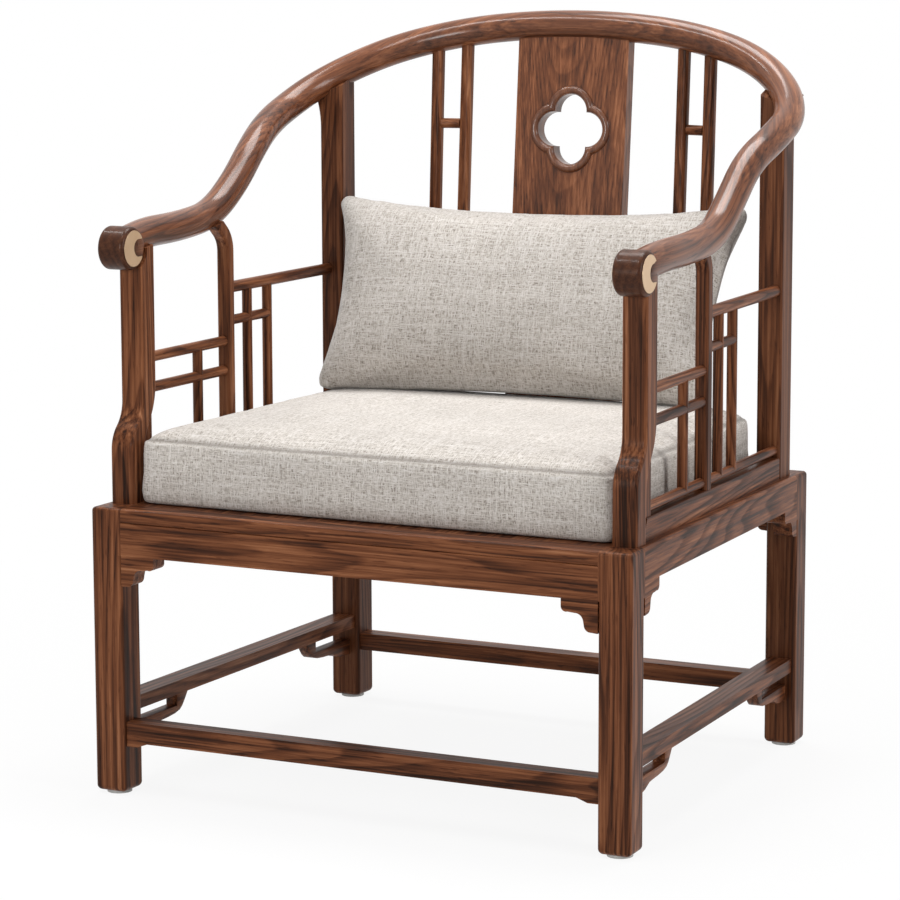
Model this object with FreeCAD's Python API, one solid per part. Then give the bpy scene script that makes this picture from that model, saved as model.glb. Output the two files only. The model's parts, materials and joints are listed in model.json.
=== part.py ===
# Horseshoe back armchair: a walnut frame with a round continuous top rail,
# lattice sides, a splat with a quatrefoil window, and two loose linen cushions.
# Millimetres. X to the sitter's left, Y to the back, Z up from the floor.
import FreeCAD
import Part
import math
import os

V = FreeCAD.Vector

# Seat frame and legs
front_width = 700.0
rear_width = 660.0
frame_depth = 608.8
seat_height = 349.8
leg_size = 41.0
leg_edge = 5.0
foot_taper = 6.5
glide_show = 3.5
glide_radius = 15.0
glide_pin_radius = 3.0
glide_pin_long = 12.0
front_rail_high = 56.5
side_rail_high = 40.0
rail_tenon_long = 13.0
rail_tenon_thick = 10.0
tenon_shoulder = 6.0
bead_drop = 16.5
bead_groove = 1.6
panel_thick = 12.0
panel_rebate = 12.0
batten_wide = 40.0
batten_high = 18.0
batten_apart = 230.0

# Stretchers
front_stretcher_top = 90.0
front_stretcher_high = 25.0
stretcher_deep = 25.0
stretcher_setback = 6.0
stretcher_swell = 5.0
stretcher_swell_long = 28.0
rear_stretcher_top = 89.5
rear_stretcher_high = 22.5
rear_stretcher_setback = 10.4
side_stretcher_top = 114.5
side_stretcher_high = 17.0
side_stretcher_wide = 30.0
side_stretcher_inset = 5.0
stretcher_tenon_long = 15.0
stretcher_tenon_thick = 12.0
stretcher_shoulder = 4.0

# Brackets
bracket_long = 45.0
bracket_drop = 37.0
bracket_thick = 25.0
scroll_long = 92.0
scroll_drop = 38.0
scroll_thick = 16.0

# Horseshoe rail: plan, rise and section
rail_half_width = 334.0
arm_setback = 54.4
rail_run = 577.0
arm_height = 659.5
crest_height = 903.0
rail_radius = 18.5
scarf_long = 44.0
roll_radius = 26.0
roll_wide = 36.0
roll_edge = 5.0
roll_forward = 6.1
roll_drop = 4.5
brass_radius = 24.0
brass_slot_radius = 10.5
brass_arm = 18.0
brass_thick = 1.6
brass_sunk = 1.2

# Posts
post_wide = 31.0
post_inset = 6.5
post_edge = 4.0
front_post_setback = 33.4
front_post_member = 28.0
front_post_offset = 26.0
front_post_deep = 32.0
bend_above_seat = 63.7
bend_high = 58.0
web_thick = 15.0
rear_post_wide = 32.0
rear_post_deep = 39.0
rear_post_inset = 10.0
rear_post_from_back = 39.7
flare_below_rail = 66.086
flare_high = 63.5
flare_out = 16.0
mid_post_size = 17.0
mid_post_from_front = 277.9
mid_bend_below_arm = 29.0
mid_bend_radius = 34.0
mid_bend_turn = 50.0
post_tenon = 14.0
post_tenon_long = 16.0
rail_tenon_in = 12.0

# Side lattice
lattice_inset = 20.0
floor_rail_high = 27.0
floor_rail_wide = 20.0
floor_rail_inset = 11.0
floor_rail_edge = 2.5
floor_rail_slant = 14.0
low_bar_above_seat = 35.7
low_bar_radius = 6.0
second_bar_share = 0.42525
top_bar_share = 0.54472
front_bar_radius = 6.5
link_bar_share = 0.62383
link_bar_radius = 6.2
rear_bar_share = 0.75783
rear_bar_radius = 7.2
upright_radius = 6.3
first_upright_from_front = 209.8
second_upright_from_front = 327.8
third_upright_from_front = 376.2
bar_housing = 6.0

# Back
splat_wide = 154.0
splat_thick = 19.0
splat_foot_from_back = 28.9
window_below_crest = 131.5
window_lobe = 22.0
window_offset = 23.0
window_bead = 11.0
bead_sink = 1.0
rod_size = 15.0
rod_edge = 5.0
rod_foot_from_back = 20.5
outer_rod_x = 191.0
inner_rod_x = 152.0
link_below_crest = 129.5
rod_link_radius = 6.5
rod_link_pin = 3.5
rod_link_pin_long = 4.0
rod_tenon_radius = 4.5
rod_tenon_long = 14.0
splat_tenon_thick = 9.0
splat_tenon_wide = 110.0
splat_tenon_long = 14.0

# Seat cushion
cushion_front = 41.4
cushion_back = 526.0
cushion_front_inset = 41.0
cushion_rear_inset = 43.0
cushion_seam_high = 78.0
cushion_crown = 20.0
cushion_corner = 16.0
cushion_bow = 3.0

# Lumbar pillow
pillow_top_half = 276.0
pillow_bottom_half = 260.0
pillow_high = 266.0
pillow_thick = 116.0
pillow_lean = 27.0
pillow_from_front = 497.3
pillow_lift = 113.9
pillow_draw = 15.0
pillow_side_draw = 12.0
pillow_corner = 14.0
pillow_shift = 12.0
pillow_turn = 4.5

# Clearances
fit = 0.15
soft_gap = 0.3
overrun = 60.0

# Heights of cushion rings as shares of the boxed side, with how far each is drawn in
boxing_shares = ((0.0, 0.30), (0.10, 0.10), (0.42, 0.0), (0.82, 0.02), (1.0, 0.10))
crown_shares = ((0.0, 0.10), (0.42, 1.3), (0.76, 3.7), (0.95, 7.4), (1.0, 11.0))
# Pillow rings: share of the half thickness, share of the height drawn in
pillow_shares = ((0.0, 0.0), (0.36, 0.055), (0.70, 0.155), (0.93, 0.31), (1.0, 0.42))

# Rail path: x share of the half width, y share of the run, z share of the rise, then
# the heading in the same shares, from the arm's end to the middle of the crest
rail_shares = (
    (0.9909, 0.0, 0.0, 0.1468, 0.8890, 0.4337),
    (1.0034, 0.3100, 0.0549, 0.0144, 0.9724, 0.2329),
    (1.0008, 0.5113, 0.3010, 0.0262, 0.4473, 0.8940),
    (1.0341, 0.7144, 0.5429, -0.0188, 0.7645, 0.6444),
    (0.9517, 0.8444, 0.6990, -0.6108, 0.4536, 0.6490),
    (0.6465, 0.9633, 0.8954, -0.9233, 0.1739, 0.3425),
    (0.0, 1.0, 1.0, -1.0, 0.0, 0.0),
)
arm_scarf_share = 6
crest_scarf_share = 9

# Ogee bracket: runs and arcs as shares of its length and drop
ogee_shares = (
    ("line", (1.0, 0.24)),
    ("arc", (0.96, 0.36), (0.82, 0.40)),
    ("line", (0.62, 0.42)),
    ("arc", (0.46, 0.49), (0.39, 0.66)),
    ("line", (0.37, 0.80)),
    ("arc", (0.32, 0.92), (0.18, 0.98)),
    ("line", (0.0, 1.0)),
)
# Scroll bracket: outside from the flare to the foot, then the window
scroll_shares = (
    ("arc", (0.89, 0.13), (0.82, 0.34)),
    ("line", (0.815, 0.42)),
    ("arc", (0.74, 0.69), (0.56, 0.80)),
    ("line", (0.20, 0.80)),
    ("arc", (0.10, 0.84), (0.06, 1.0)),
    ("line", (0.0, 1.0)),
    ("line", (0.0, 0.47)),
    ("line", (0.59, 0.47)),
    ("line", (0.59, 0.0)),
)

# Heights and half widths that follow the sizes above
bend_start = seat_height + bend_above_seat
mid_bend_start = arm_height - mid_bend_below_arm
low_bar_height = seat_height + low_bar_above_seat
second_bar_height = seat_height + (arm_height - seat_height) * second_bar_share
top_bar_height = seat_height + (arm_height - seat_height) * top_bar_share
link_bar_height = seat_height + (arm_height - seat_height) * link_bar_share
rear_bar_height = seat_height + (arm_height - seat_height) * rear_bar_share
window_height = crest_height - window_below_crest
rod_link_height = crest_height - link_below_crest
cushion_front_half = front_width / 2 - cushion_front_inset
cushion_rear_half = rear_width / 2 - cushion_rear_inset

front_y = -frame_depth / 2
rear_y = frame_depth / 2
taper = math.atan2((front_width - rear_width) / 2, frame_depth)


def side_x(y, inset):
    """Outer side plane of the frame at depth y, less an inset."""
    return front_width / 2 - (y - front_y) * math.tan(taper) - inset


def box(x0, x1, y0, y1, z0, z1):
    return Part.makeBox(x1 - x0, y1 - y0, z1 - z0, V(x0, y0, z0))


def grown(x0, x1, y0, y1, z0, z1):
    """The same box with the fit added on every side, for a mortise."""
    return box(x0 - fit, x1 + fit, y0 - fit, y1 + fit, z0 - fit, z1 + fit)


def prism(points, along):
    return Part.Face(Part.makePolygon(points + points[:1])).extrude(along)


def side_bar(y0, y1, inset, wide, z0, z1):
    """A bar in the tapered side plane, square to it in plan."""
    points = [
        V(side_x(y0, inset), y0, z0),
        V(side_x(y1, inset), y1, z0),
        V(side_x(y1, inset + wide), y1, z0),
        V(side_x(y0, inset + wide), y0, z0),
    ]
    return prism(points, V(0, 0, z1 - z0))


def rod(p, q, radius):
    return Part.makeCylinder(radius, p.distanceToPoint(q), p, q.sub(p))


def mirrored(shape):
    return shape.mirror(V(0, 0, 0), V(1, 0, 0))


def traced(start, shares, place):
    """Edges of an outline given as runs and three-point arcs."""
    edges = []
    here = place(start)
    for step in shares:
        there = place(step[-1])
        if step[0] == "arc":
            edges.append(Part.Arc(here, place(step[1]), there).toShape())
        else:
            edges.append(Part.LineSegment(here, there).toShape())
        here = there
    return edges


def filled(edges, along):
    return Part.Face(Part.Wire(edges)).extrude(along)


def largest(shape):
    return max(shape.Solids, key=lambda solid: solid.Volume)


def edges_where(shape, test):
    return [e for e in shape.Edges if test(e)]


def rounded(shape, radius, test):
    return shape.makeFillet(radius, edges_where(shape, test))


def upright_edge(edge):
    direction = edge.Vertexes[-1].Point.sub(edge.Vertexes[0].Point)
    return abs(direction.z) > direction.Length * 0.99


# Horseshoe rail path as tangent circular arcs


def rail_knots():
    rise = crest_height - arm_height
    start = front_y + arm_setback
    knots = []
    for x, y, z, dx, dy, dz in rail_shares:
        point = V(x * rail_half_width, start + y * rail_run, arm_height + z * rise)
        heading = V(dx * rail_half_width, dy * rail_run, dz * rise)
        knots.append((point, heading.normalize()))
    return knots


def biarc(p0, t0, p1, t1):
    """Middle point and heading of two tangent arcs from p0 to p1."""
    chord = p1.sub(p0)
    a = 2 * (1 - t0.dot(t1))
    b = 2 * chord.dot(t0.add(t1))
    d = (-b + math.sqrt(b * b + 4 * a * chord.dot(chord))) / (2 * a)
    q0 = p0.add(V(t0).multiply(d))
    q1 = p1.sub(V(t1).multiply(d))
    middle = q0.add(q1).multiply(1 / 2)
    return middle, q1.sub(q0).normalize()


def rail_stations():
    knots = rail_knots()
    stations = [knots[0]]
    for (p0, t0), (p1, t1) in zip(knots[:-1], knots[1:]):
        stations.append(biarc(p0, t0, p1, t1))
        stations.append((p1, t1))
    return stations


def arc_tube(p, t, q, radius):
    """A round tube along the circular arc from p, heading t, to q."""
    chord = q.sub(p)
    axis = t.cross(chord).normalize()
    normal = axis.cross(t)
    bend = chord.dot(chord) / (2 * chord.dot(normal))
    centre = p.add(V(normal).multiply(bend))
    turn = 2 * math.degrees(math.atan2(chord.dot(normal), chord.dot(t)))
    disc = Part.Face(Part.Wire(Part.makeCircle(radius, p, t)))
    return disc.revolve(centre, axis, turn)


def rail_tubes(radius):
    stations = rail_stations()
    tubes = []
    for (p, t), (q, _) in zip(stations[:-1], stations[1:]):
        tubes.append(arc_tube(p, t, q, radius))
    return tubes


def fused(shapes):
    whole = shapes[0]
    if len(shapes) > 1:
        whole = shapes[0].multiFuse(shapes[1:])
    return whole


def rail_where(axis, value):
    """Centre and heading of the rail where it passes a given x or y."""
    stations = rail_stations()
    best = None
    for (p, t), (q, u) in zip(stations[:-1], stations[1:]):
        chord = q.sub(p)
        normal = t.cross(chord).cross(t).normalize()
        bend = chord.dot(chord) / (2 * chord.dot(normal))
        half = math.atan2(chord.dot(normal), chord.dot(t))
        middle = p.add(V(t).multiply(bend * math.sin(half)))
        middle = middle.add(V(normal).multiply(bend * (1 - math.cos(half))))
        curve = Part.Arc(p, middle, q).toShape()
        points = curve.discretize(60)
        for a, b in zip(points[:-1], points[1:]):
            lo = getattr(a, axis)
            hi = getattr(b, axis)
            if min(lo, hi) <= value <= max(lo, hi) and lo != hi:
                share = (value - lo) / (hi - lo)
                step = b.sub(a)
                best = (a.add(V(step).multiply(share)), step.normalize())
    return best


def turned(shape, point, heading, side):
    """Place a shape drawn along +X, with +Y sideways, at a point of the rail."""
    across = V(side).sub(V(heading).multiply(side.dot(heading))).normalize()
    up = heading.cross(across)
    matrix = FreeCAD.Matrix(
        heading.x, across.x, up.x, point.x,
        heading.y, across.y, up.y, point.y,
        heading.z, across.z, up.z, point.z,
        0, 0, 0, 1,
    )
    placed = shape.copy()
    placed.Placement = FreeCAD.Placement(matrix)
    return placed


def below_rail(shape, point, heading):
    """Trim a post's head parallel to the rail, then cope it to the rail."""
    lid = box(-overrun, overrun, -overrun, overrun, -rail_radius / 2, overrun + overrun)
    lid = turned(lid, point, heading, V(0, 0, 1).cross(heading))
    return largest(shape.cut(lid).cut(thick_rail))


def rail_sections():
    """Arm, shoulder and crest halves, lapped at two scarf joints."""
    stations = rail_stations()
    tubes = rail_tubes(rail_radius)
    cuts = (0, arm_scarf_share, crest_scarf_share, len(tubes))
    parts = []
    for first, last in zip(cuts[:-1], cuts[1:]):
        parts.append(fused(tubes[first:last]))
    wide = rail_radius + overrun
    half = scarf_long / 2
    for joint in (1, 2):
        at, heading = stations[cuts[joint]]
        side = V(0, 0, 1)
        behind = turned(box(-half, 0, 0, wide, -wide, wide), at, heading, side)
        ahead = turned(box(0, half, -wide, 0, -wide, wide), at, heading, side)
        upper = parts[joint - 1].common(behind)
        lower = parts[joint].common(ahead)
        parts[joint - 1] = parts[joint - 1].cut(behind).fuse(lower)
        parts[joint] = parts[joint].cut(ahead).fuse(upper)
    return parts


# The rail's outside with the fit added, for coping posts, rods and splat
thick_rail = fused(rail_tubes(rail_radius + fit))


def roll_drum(extra, half):
    at = rail_stations()[0][0]
    centre = V(at.x - half, at.y - roll_forward, at.z - roll_drop)
    return Part.makeCylinder(roll_radius + extra, half * 2, centre, V(1, 0, 0))


def arm_roll():
    """Scrolled end of the arm, a short rounded drum across the rail."""
    drum = roll_drum(0, roll_wide / 2)
    return drum.makeFillet(roll_edge, edges_where(drum, lambda e: len(e.Vertexes) == 1))


def crescent(extra, deep, outward):
    """Brass crescent on one face of the roll, open to the back."""
    at = rail_stations()[0][0]
    y = at.y - roll_forward
    z = at.z - roll_drop
    face = at.x + outward * roll_wide / 2
    inner = face - outward * deep
    outer = face + outward * (brass_thick - brass_sunk)
    x0 = min(inner, outer)
    x1 = max(inner, outer)
    across = V(1, 0, 0)
    disc = Part.makeCylinder(brass_radius + extra - (roll_edge / 2), x1 - x0, V(x0, y, z), across)
    slot = brass_slot_radius - extra
    nose = Part.makeCylinder(slot, x1 - x0, V(x0, y + brass_slot_radius, z), across)
    channel = box(x0, x1, y + brass_slot_radius, y + overrun, z - slot, z + slot)
    beyond = box(x0, x1, y + brass_arm + extra, y + overrun, z - overrun, z + overrun)
    return disc.cut(nose).cut(channel).cut(beyond)


def crescents(extra, deep):
    return [crescent(extra, deep, 1), crescent(extra, deep, -1)]


# Legs, rails and stretchers, right side first


def leg_plan(y0, y1, z0, z1):
    return side_bar(y0, y1, 0, leg_size, z0, z1)


def leg(y0, y1, outer_y):
    """Square leg, its edges rounded below the rails and its outer corner all the way."""
    joint = seat_height - front_rail_high
    low = leg_plan(y0, y1, glide_show, joint)
    low = rounded(low, leg_edge, upright_edge)
    low = rounded(low, foot_taper, lambda e: e.BoundBox.ZMax < glide_show + fit)
    high = leg_plan(y0, y1, joint, seat_height)
    outer_x = side_x(outer_y, 0)

    def corner(edge):
        middle = edge.CenterOfMass
        return upright_edge(edge) and abs(middle.x - outer_x) < fit and abs(middle.y - outer_y) < fit

    high = rounded(high, leg_edge, corner)

    def rim(edge):
        middle = edge.CenterOfMass
        inside_y = outer_y - math.copysign(leg_size, outer_y)
        inside = abs(middle.y - inside_y) < fit
        inside = inside or middle.x < side_x(middle.y, leg_size) + fit + leg_edge
        return edge.BoundBox.ZMin > seat_height - fit and not inside

    high = rounded(high, leg_edge - fit, rim)
    return low.fuse(high)


def front_leg():
    return leg(front_y, front_y + leg_size, front_y)


def rear_leg():
    return leg(rear_y - leg_size, rear_y, rear_y)


def leg_centre(y0):
    y = y0 + leg_size / 2
    return V(side_x(y, leg_size / 2), y, 0)


def glide(y0, extra):
    at = leg_centre(y0)
    pin = Part.makeCylinder(
        glide_pin_radius + extra, glide_pin_long + glide_show + extra, at, V(0, 0, 1)
    )
    if extra > 0:
        return pin
    return Part.makeCylinder(glide_radius, glide_show, at, V(0, 0, 1)).fuse(pin)


def cross_tenon(y_middle, thick, x_end, shoulder_x, z0, z1, make):
    return make(shoulder_x, x_end, y_middle - thick / 2, y_middle + thick / 2, z0, z1)


def rail_tenon_z(high):
    return seat_height - high + tenon_shoulder, seat_height - tenon_shoulder - panel_thick


def cross_rail(outer_y, high, y_sign):
    """Front or rear seat rail between the legs, with tenons and a rounded top edge."""
    inner_y = outer_y - y_sign * leg_size
    y0 = min(outer_y, inner_y)
    y1 = max(outer_y, inner_y)
    z0 = seat_height - high
    points = [
        V(side_x(y0, leg_size), y0, z0),
        V(side_x(y1, leg_size), y1, z0),
        V(-side_x(y1, leg_size), y1, z0),
        V(-side_x(y0, leg_size), y0, z0),
    ]
    rail = prism(points, V(0, 0, high))

    def top_edge(edge):
        middle = edge.CenterOfMass
        at_top = edge.BoundBox.ZMin > seat_height - fit
        return at_top and abs(middle.y - outer_y) < fit and edge.Length > leg_size * 2

    return rounded(rail, leg_edge - fit, top_edge)


def cross_rail_tenon(outer_y, high, y_sign, make):
    middle = outer_y - y_sign * leg_size / 2
    x = side_x(middle, leg_size)
    z0, z1 = rail_tenon_z(high)
    return cross_tenon(middle, rail_tenon_thick, x + rail_tenon_long, x - leg_size / 2, z0, z1, make)


def front_groove():
    """Scribed line along the front rail, below its rounded edge."""
    z = seat_height - bead_drop
    x = side_x(front_y, leg_size)
    half = bead_groove / 2
    points = [V(-x, front_y, z - half), V(-x, front_y + bead_groove, z), V(-x, front_y, z + half)]
    return prism(points, V(x * 2, 0, 0))


def side_rail():
    y0 = front_y + leg_size
    y1 = rear_y - leg_size
    rail = side_bar(y0, y1, 0, leg_size, seat_height - side_rail_high, seat_height)

    def top_edge(edge):
        middle = edge.CenterOfMass
        at_top = edge.BoundBox.ZMin > seat_height - fit
        return at_top and abs(middle.x - side_x(middle.y, 0)) < fit

    return rounded(rail, leg_edge - fit, top_edge)


def side_rail_tenon(extra):
    """Both end tenons of the side rail as one long bar."""
    inset = (leg_size - rail_tenon_thick) / 2 - extra
    z0, z1 = rail_tenon_z(side_rail_high)
    long = rail_tenon_long + extra
    y0 = front_y + leg_size - long
    y1 = rear_y - leg_size + long
    return side_bar(y0, y1, inset, rail_tenon_thick + extra * 2, z0 - extra, z1 + extra)


def cross_stretcher(y0, top, high, swell):
    """Foot stretcher across the chair; the front one swells down at the legs."""
    x = side_x(y0, leg_size)
    z0 = top - high
    deep = V(0, stretcher_deep, 0)
    if swell <= 0:
        return box(-x, x, y0, y0 + stretcher_deep, z0, top)
    run = stretcher_swell_long
    start = V(x, y0, z0 - swell)

    def half(sign):
        low = V(sign * x, y0, z0 - swell)
        knee = V(sign * (x - run / 2), y0, z0 - swell)
        bend = V(sign * (x - run * 3 / 4), y0, z0 - swell / 2)
        flat = V(sign * (x - run), y0, z0)
        return low, knee, bend, flat

    low_r, knee_r, bend_r, flat_r = half(1)
    low_l, knee_l, bend_l, flat_l = half(-1)
    points = [start, knee_r, bend_r, flat_r, flat_l, bend_l, knee_l, low_l]
    points = points + [V(-x, y0, top), V(x, y0, top)]
    return prism(points, deep)


def cross_stretcher_tenon(y0, top, high, make):
    middle = y0 + stretcher_deep / 2
    x = side_x(middle, leg_size)
    z0 = top - high + stretcher_shoulder
    z1 = top - stretcher_shoulder
    end = x + stretcher_tenon_long
    return cross_tenon(middle, stretcher_tenon_thick, end, x - leg_size / 2, z0, z1, make)


def side_stretcher():
    z0 = side_stretcher_top - side_stretcher_high
    y0 = front_y + leg_size
    y1 = rear_y - leg_size
    return side_bar(y0, y1, side_stretcher_inset, side_stretcher_wide, z0, side_stretcher_top)


def side_stretcher_tenon(extra):
    inset = side_stretcher_inset + (side_stretcher_wide - stretcher_tenon_thick) / 2 - extra
    z0 = side_stretcher_top - side_stretcher_high + stretcher_shoulder - extra
    z1 = side_stretcher_top - stretcher_shoulder + extra
    long = stretcher_tenon_long + extra
    y0 = front_y + leg_size - long
    y1 = rear_y - leg_size + long
    return side_bar(y0, y1, inset, stretcher_tenon_thick + extra * 2, z0, z1)


def ogee(origin, along, out):
    """Ogee bracket blank: length along the rail, drop down, thickness out."""

    def place(share):
        run = V(along).multiply(share[0] * bracket_long)
        return origin.add(run).sub(V(0, 0, share[1] * bracket_drop))

    edges = traced((1.0, 0.0), ogee_shares, place)
    edges.append(Part.LineSegment(place((0.0, 1.0)), origin).toShape())
    edges.append(Part.LineSegment(origin, place((1.0, 0.0))).toShape())
    return filled(edges, out)


def cross_bracket(outer_y, high, y_sign):
    """Right-hand bracket under the front or rear rail."""
    y = outer_y if y_sign < 0 else outer_y - bracket_thick
    blank_z = seat_height - high
    near = side_x(outer_y, leg_size)
    blank = ogee(V(near, y, blank_z), V(-1, 0, 0), V(0, bracket_thick, 0))
    return blank.cut(leg_plan(outer_y - leg_size, outer_y + leg_size, 0, seat_height))


def side_bracket(y, sign):
    """Bracket under the side rail, running along the side from one leg."""
    z = seat_height - side_rail_high
    x0 = side_x(y, bracket_thick + leg_size)
    blank = ogee(V(x0, y, z), V(0, sign, 0), V(bracket_thick + leg_size * 2, 0, 0))
    y0 = min(y, y + sign * bracket_long)
    y1 = max(y, y + sign * bracket_long)
    band = side_bar(y0 - overrun, y1 + overrun, 0, bracket_thick, z - bracket_drop * 2, z + overrun)
    return blank.common(band)


def scroll_bracket(y, sign):
    """Open scroll under the side stretcher, from its flare round to the leg."""
    z = side_stretcher_top - side_stretcher_high
    x0 = side_x(y, leg_size * 2)

    def place(share):
        return V(x0, y + sign * share[0] * scroll_long, z - share[1] * scroll_drop)

    edges = traced((1.0, 0.0), scroll_shares, place)
    edges.append(Part.LineSegment(place((0.59, 0.0)), place((1.0, 0.0))).toShape())
    blank = filled(edges, V(leg_size * 3, 0, 0))
    y0 = min(y, y + sign * scroll_long)
    y1 = max(y, y + sign * scroll_long)
    inset = side_stretcher_inset + (side_stretcher_wide - scroll_thick) / 2
    band = side_bar(y0 - overrun, y1 + overrun, inset, scroll_thick, z - scroll_drop * 2, z + overrun)
    return blank.common(band)


def panel_plan(reach, z0, z1):
    """Seat panel plan, inside the rails and into their rebates."""
    y0 = front_y + leg_size - reach
    y1 = rear_y - leg_size + reach
    inset = leg_size - reach
    points = [
        V(side_x(y0, inset), y0, z0),
        V(side_x(y1, inset), y1, z0),
        V(-side_x(y1, inset), y1, z0),
        V(-side_x(y0, inset), y0, z0),
    ]
    return prism(points, V(0, 0, z1 - z0))


def batten(x, extra):
    z1 = seat_height - panel_thick
    y0 = front_y + leg_size
    y1 = rear_y - leg_size
    half = batten_wide / 2
    bar = box(x - half, x + half, y0, y1, z1 - batten_high, z1)
    thick = batten_high / 3
    long = rail_tenon_long
    make = grown if extra else box
    tongue = make(x - half / 2, x + half / 2, y0 - long, y1 + long, z1 - thick * 2, z1 - thick)
    return bar.fuse(tongue)


# Posts


def s_bend(x, y0, z0, y1, z1):
    """Two equal arcs joining upright lines at y0 and y1."""
    wide = abs(y1 - y0)
    high = abs(z1 - z0)
    radius = (high * high + wide * wide) / (4 * wide)
    turn = math.asin(high / 2 / radius) / 2
    side = math.copysign(1, y1 - y0)
    up = math.copysign(1, z1 - z0)
    in_step = side * radius * (1 - math.cos(turn))
    up_step = up * radius * math.sin(turn)
    middle = V(x, (y0 + y1) / 2, (z0 + z1) / 2)
    first = Part.Arc(V(x, y0, z0), V(x, y0 + in_step, z0 + up_step), middle)
    second = Part.Arc(middle, V(x, y1 - in_step, z1 - up_step), V(x, y1, z1))
    return [first.toShape(), second.toShape()]


def line(p, q):
    return Part.LineSegment(p, q).toShape()


def front_post_x():
    y = front_y + front_post_setback + front_post_offset
    return side_x(y, post_inset) - post_wide


def front_post():
    """Post with its face stepped back in a double curve, web filling behind it."""
    x = front_post_x()
    y_low = front_y + front_post_setback
    y_high = y_low + front_post_offset
    y_back = y_high + front_post_deep
    y_member = y_low + front_post_member
    top = rail_where("y", y_high)[0].z
    z1 = bend_start
    z2 = bend_start + bend_high
    back_low = bend_start - bend_high / 4
    back_high = z2 + bend_high / 3
    edges = [line(V(x, y_low, seat_height), V(x, y_low, z1))]
    edges += s_bend(x, y_low, z1, y_high, z2)
    edges.append(line(V(x, y_high, z2), V(x, y_high, top)))
    edges.append(line(V(x, y_high, top), V(x, y_back, top)))
    edges.append(line(V(x, y_back, top), V(x, y_back, back_high)))
    edges += s_bend(x, y_back, back_high, y_member, back_low)
    edges.append(line(V(x, y_member, back_low), V(x, y_member, seat_height)))
    edges.append(line(V(x, y_member, seat_height), V(x, y_low, seat_height)))
    member = filled(edges, V(post_wide, 0, 0))

    def long_edge(edge):
        return edge.BoundBox.ZMax - edge.BoundBox.ZMin > fit

    member = rounded(member, post_edge, long_edge)
    x_web = x + (post_wide - web_thick) / 2
    y_web = y_low + front_post_member / 2
    z0 = seat_height + floor_rail_high
    z3 = back_high - post_edge
    behind = y_web + front_post_offset
    outline = ((y_web, z0), (y_web, z1), (behind, z2), (behind, z3), (y_back, z3), (y_back, z0))
    web = prism([V(x_web, y, z) for y, z in outline], V(web_thick, 0, 0))
    post = member.fuse(web)
    at, heading = rail_where("y", (y_high + y_back) / 2)
    return largest(below_rail(post, at, heading).cut(roll_drum(fit, roll_wide)))


def foot_tenon(x, y, make):
    half = post_tenon / 2
    z0 = seat_height - post_tenon_long
    return make(x - half, x + half, y - half, y + half, z0, seat_height + post_tenon)


def head_tenon(x, y, rail_z, make):
    half = post_tenon / 2
    z0 = rail_z - rail_radius - post_tenon
    return make(x - half, x + half, y - half, y + half, z0, rail_z - rail_radius + rail_tenon_in)


def front_post_head():
    x = front_post_x() + post_wide / 2
    y = front_y + front_post_setback + front_post_offset + front_post_deep / 2
    return x, y, rail_where("y", y)[0].z


def front_post_foot():
    x = front_post_x() + post_wide / 2
    y = front_y + leg_size + post_tenon
    return x, y


def rear_post_middle():
    y = rear_y - rear_post_from_back - rear_post_deep / 2
    x = side_x(y, rear_post_inset) - rear_post_wide / 2
    return x, y


def rear_post():
    """Straight post whose head flares outward to the rail."""
    x_mid, y_mid = rear_post_middle()
    x0 = x_mid - rear_post_wide / 2
    x1 = x_mid + rear_post_wide / 2
    y = y_mid - rear_post_deep / 2
    at, heading = rail_where("y", y_mid)
    top = at.z + rail_radius
    flare_start = at.z - flare_below_rail
    radius = (flare_high * flare_high + flare_out * flare_out) / (2 * flare_out)
    half_turn = math.asin(flare_high / radius) / 2
    middle = V(
        x1 + radius * (1 - math.cos(half_turn)), y, flare_start + radius * math.sin(half_turn)
    )
    wide = V(x1 + flare_out, y, flare_start + flare_high)
    edges = [line(V(x0, y, seat_height), V(x1, y, seat_height))]
    edges.append(line(V(x1, y, seat_height), V(x1, y, flare_start)))
    edges.append(Part.Arc(V(x1, y, flare_start), middle, wide).toShape())
    edges.append(line(wide, V(wide.x, y, top)))
    edges.append(line(V(wide.x, y, top), V(x0, y, top)))
    edges.append(line(V(x0, y, top), V(x0, y, seat_height)))
    post = filled(edges, V(0, rear_post_deep, 0))

    def long_edge(edge):
        return edge.BoundBox.ZMax - edge.BoundBox.ZMin > fit

    post = rounded(post, post_edge, long_edge)
    return below_rail(post, at, heading)


def mid_post_place():
    y = front_y + mid_post_from_front
    return side_x(y, lattice_inset), y


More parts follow.
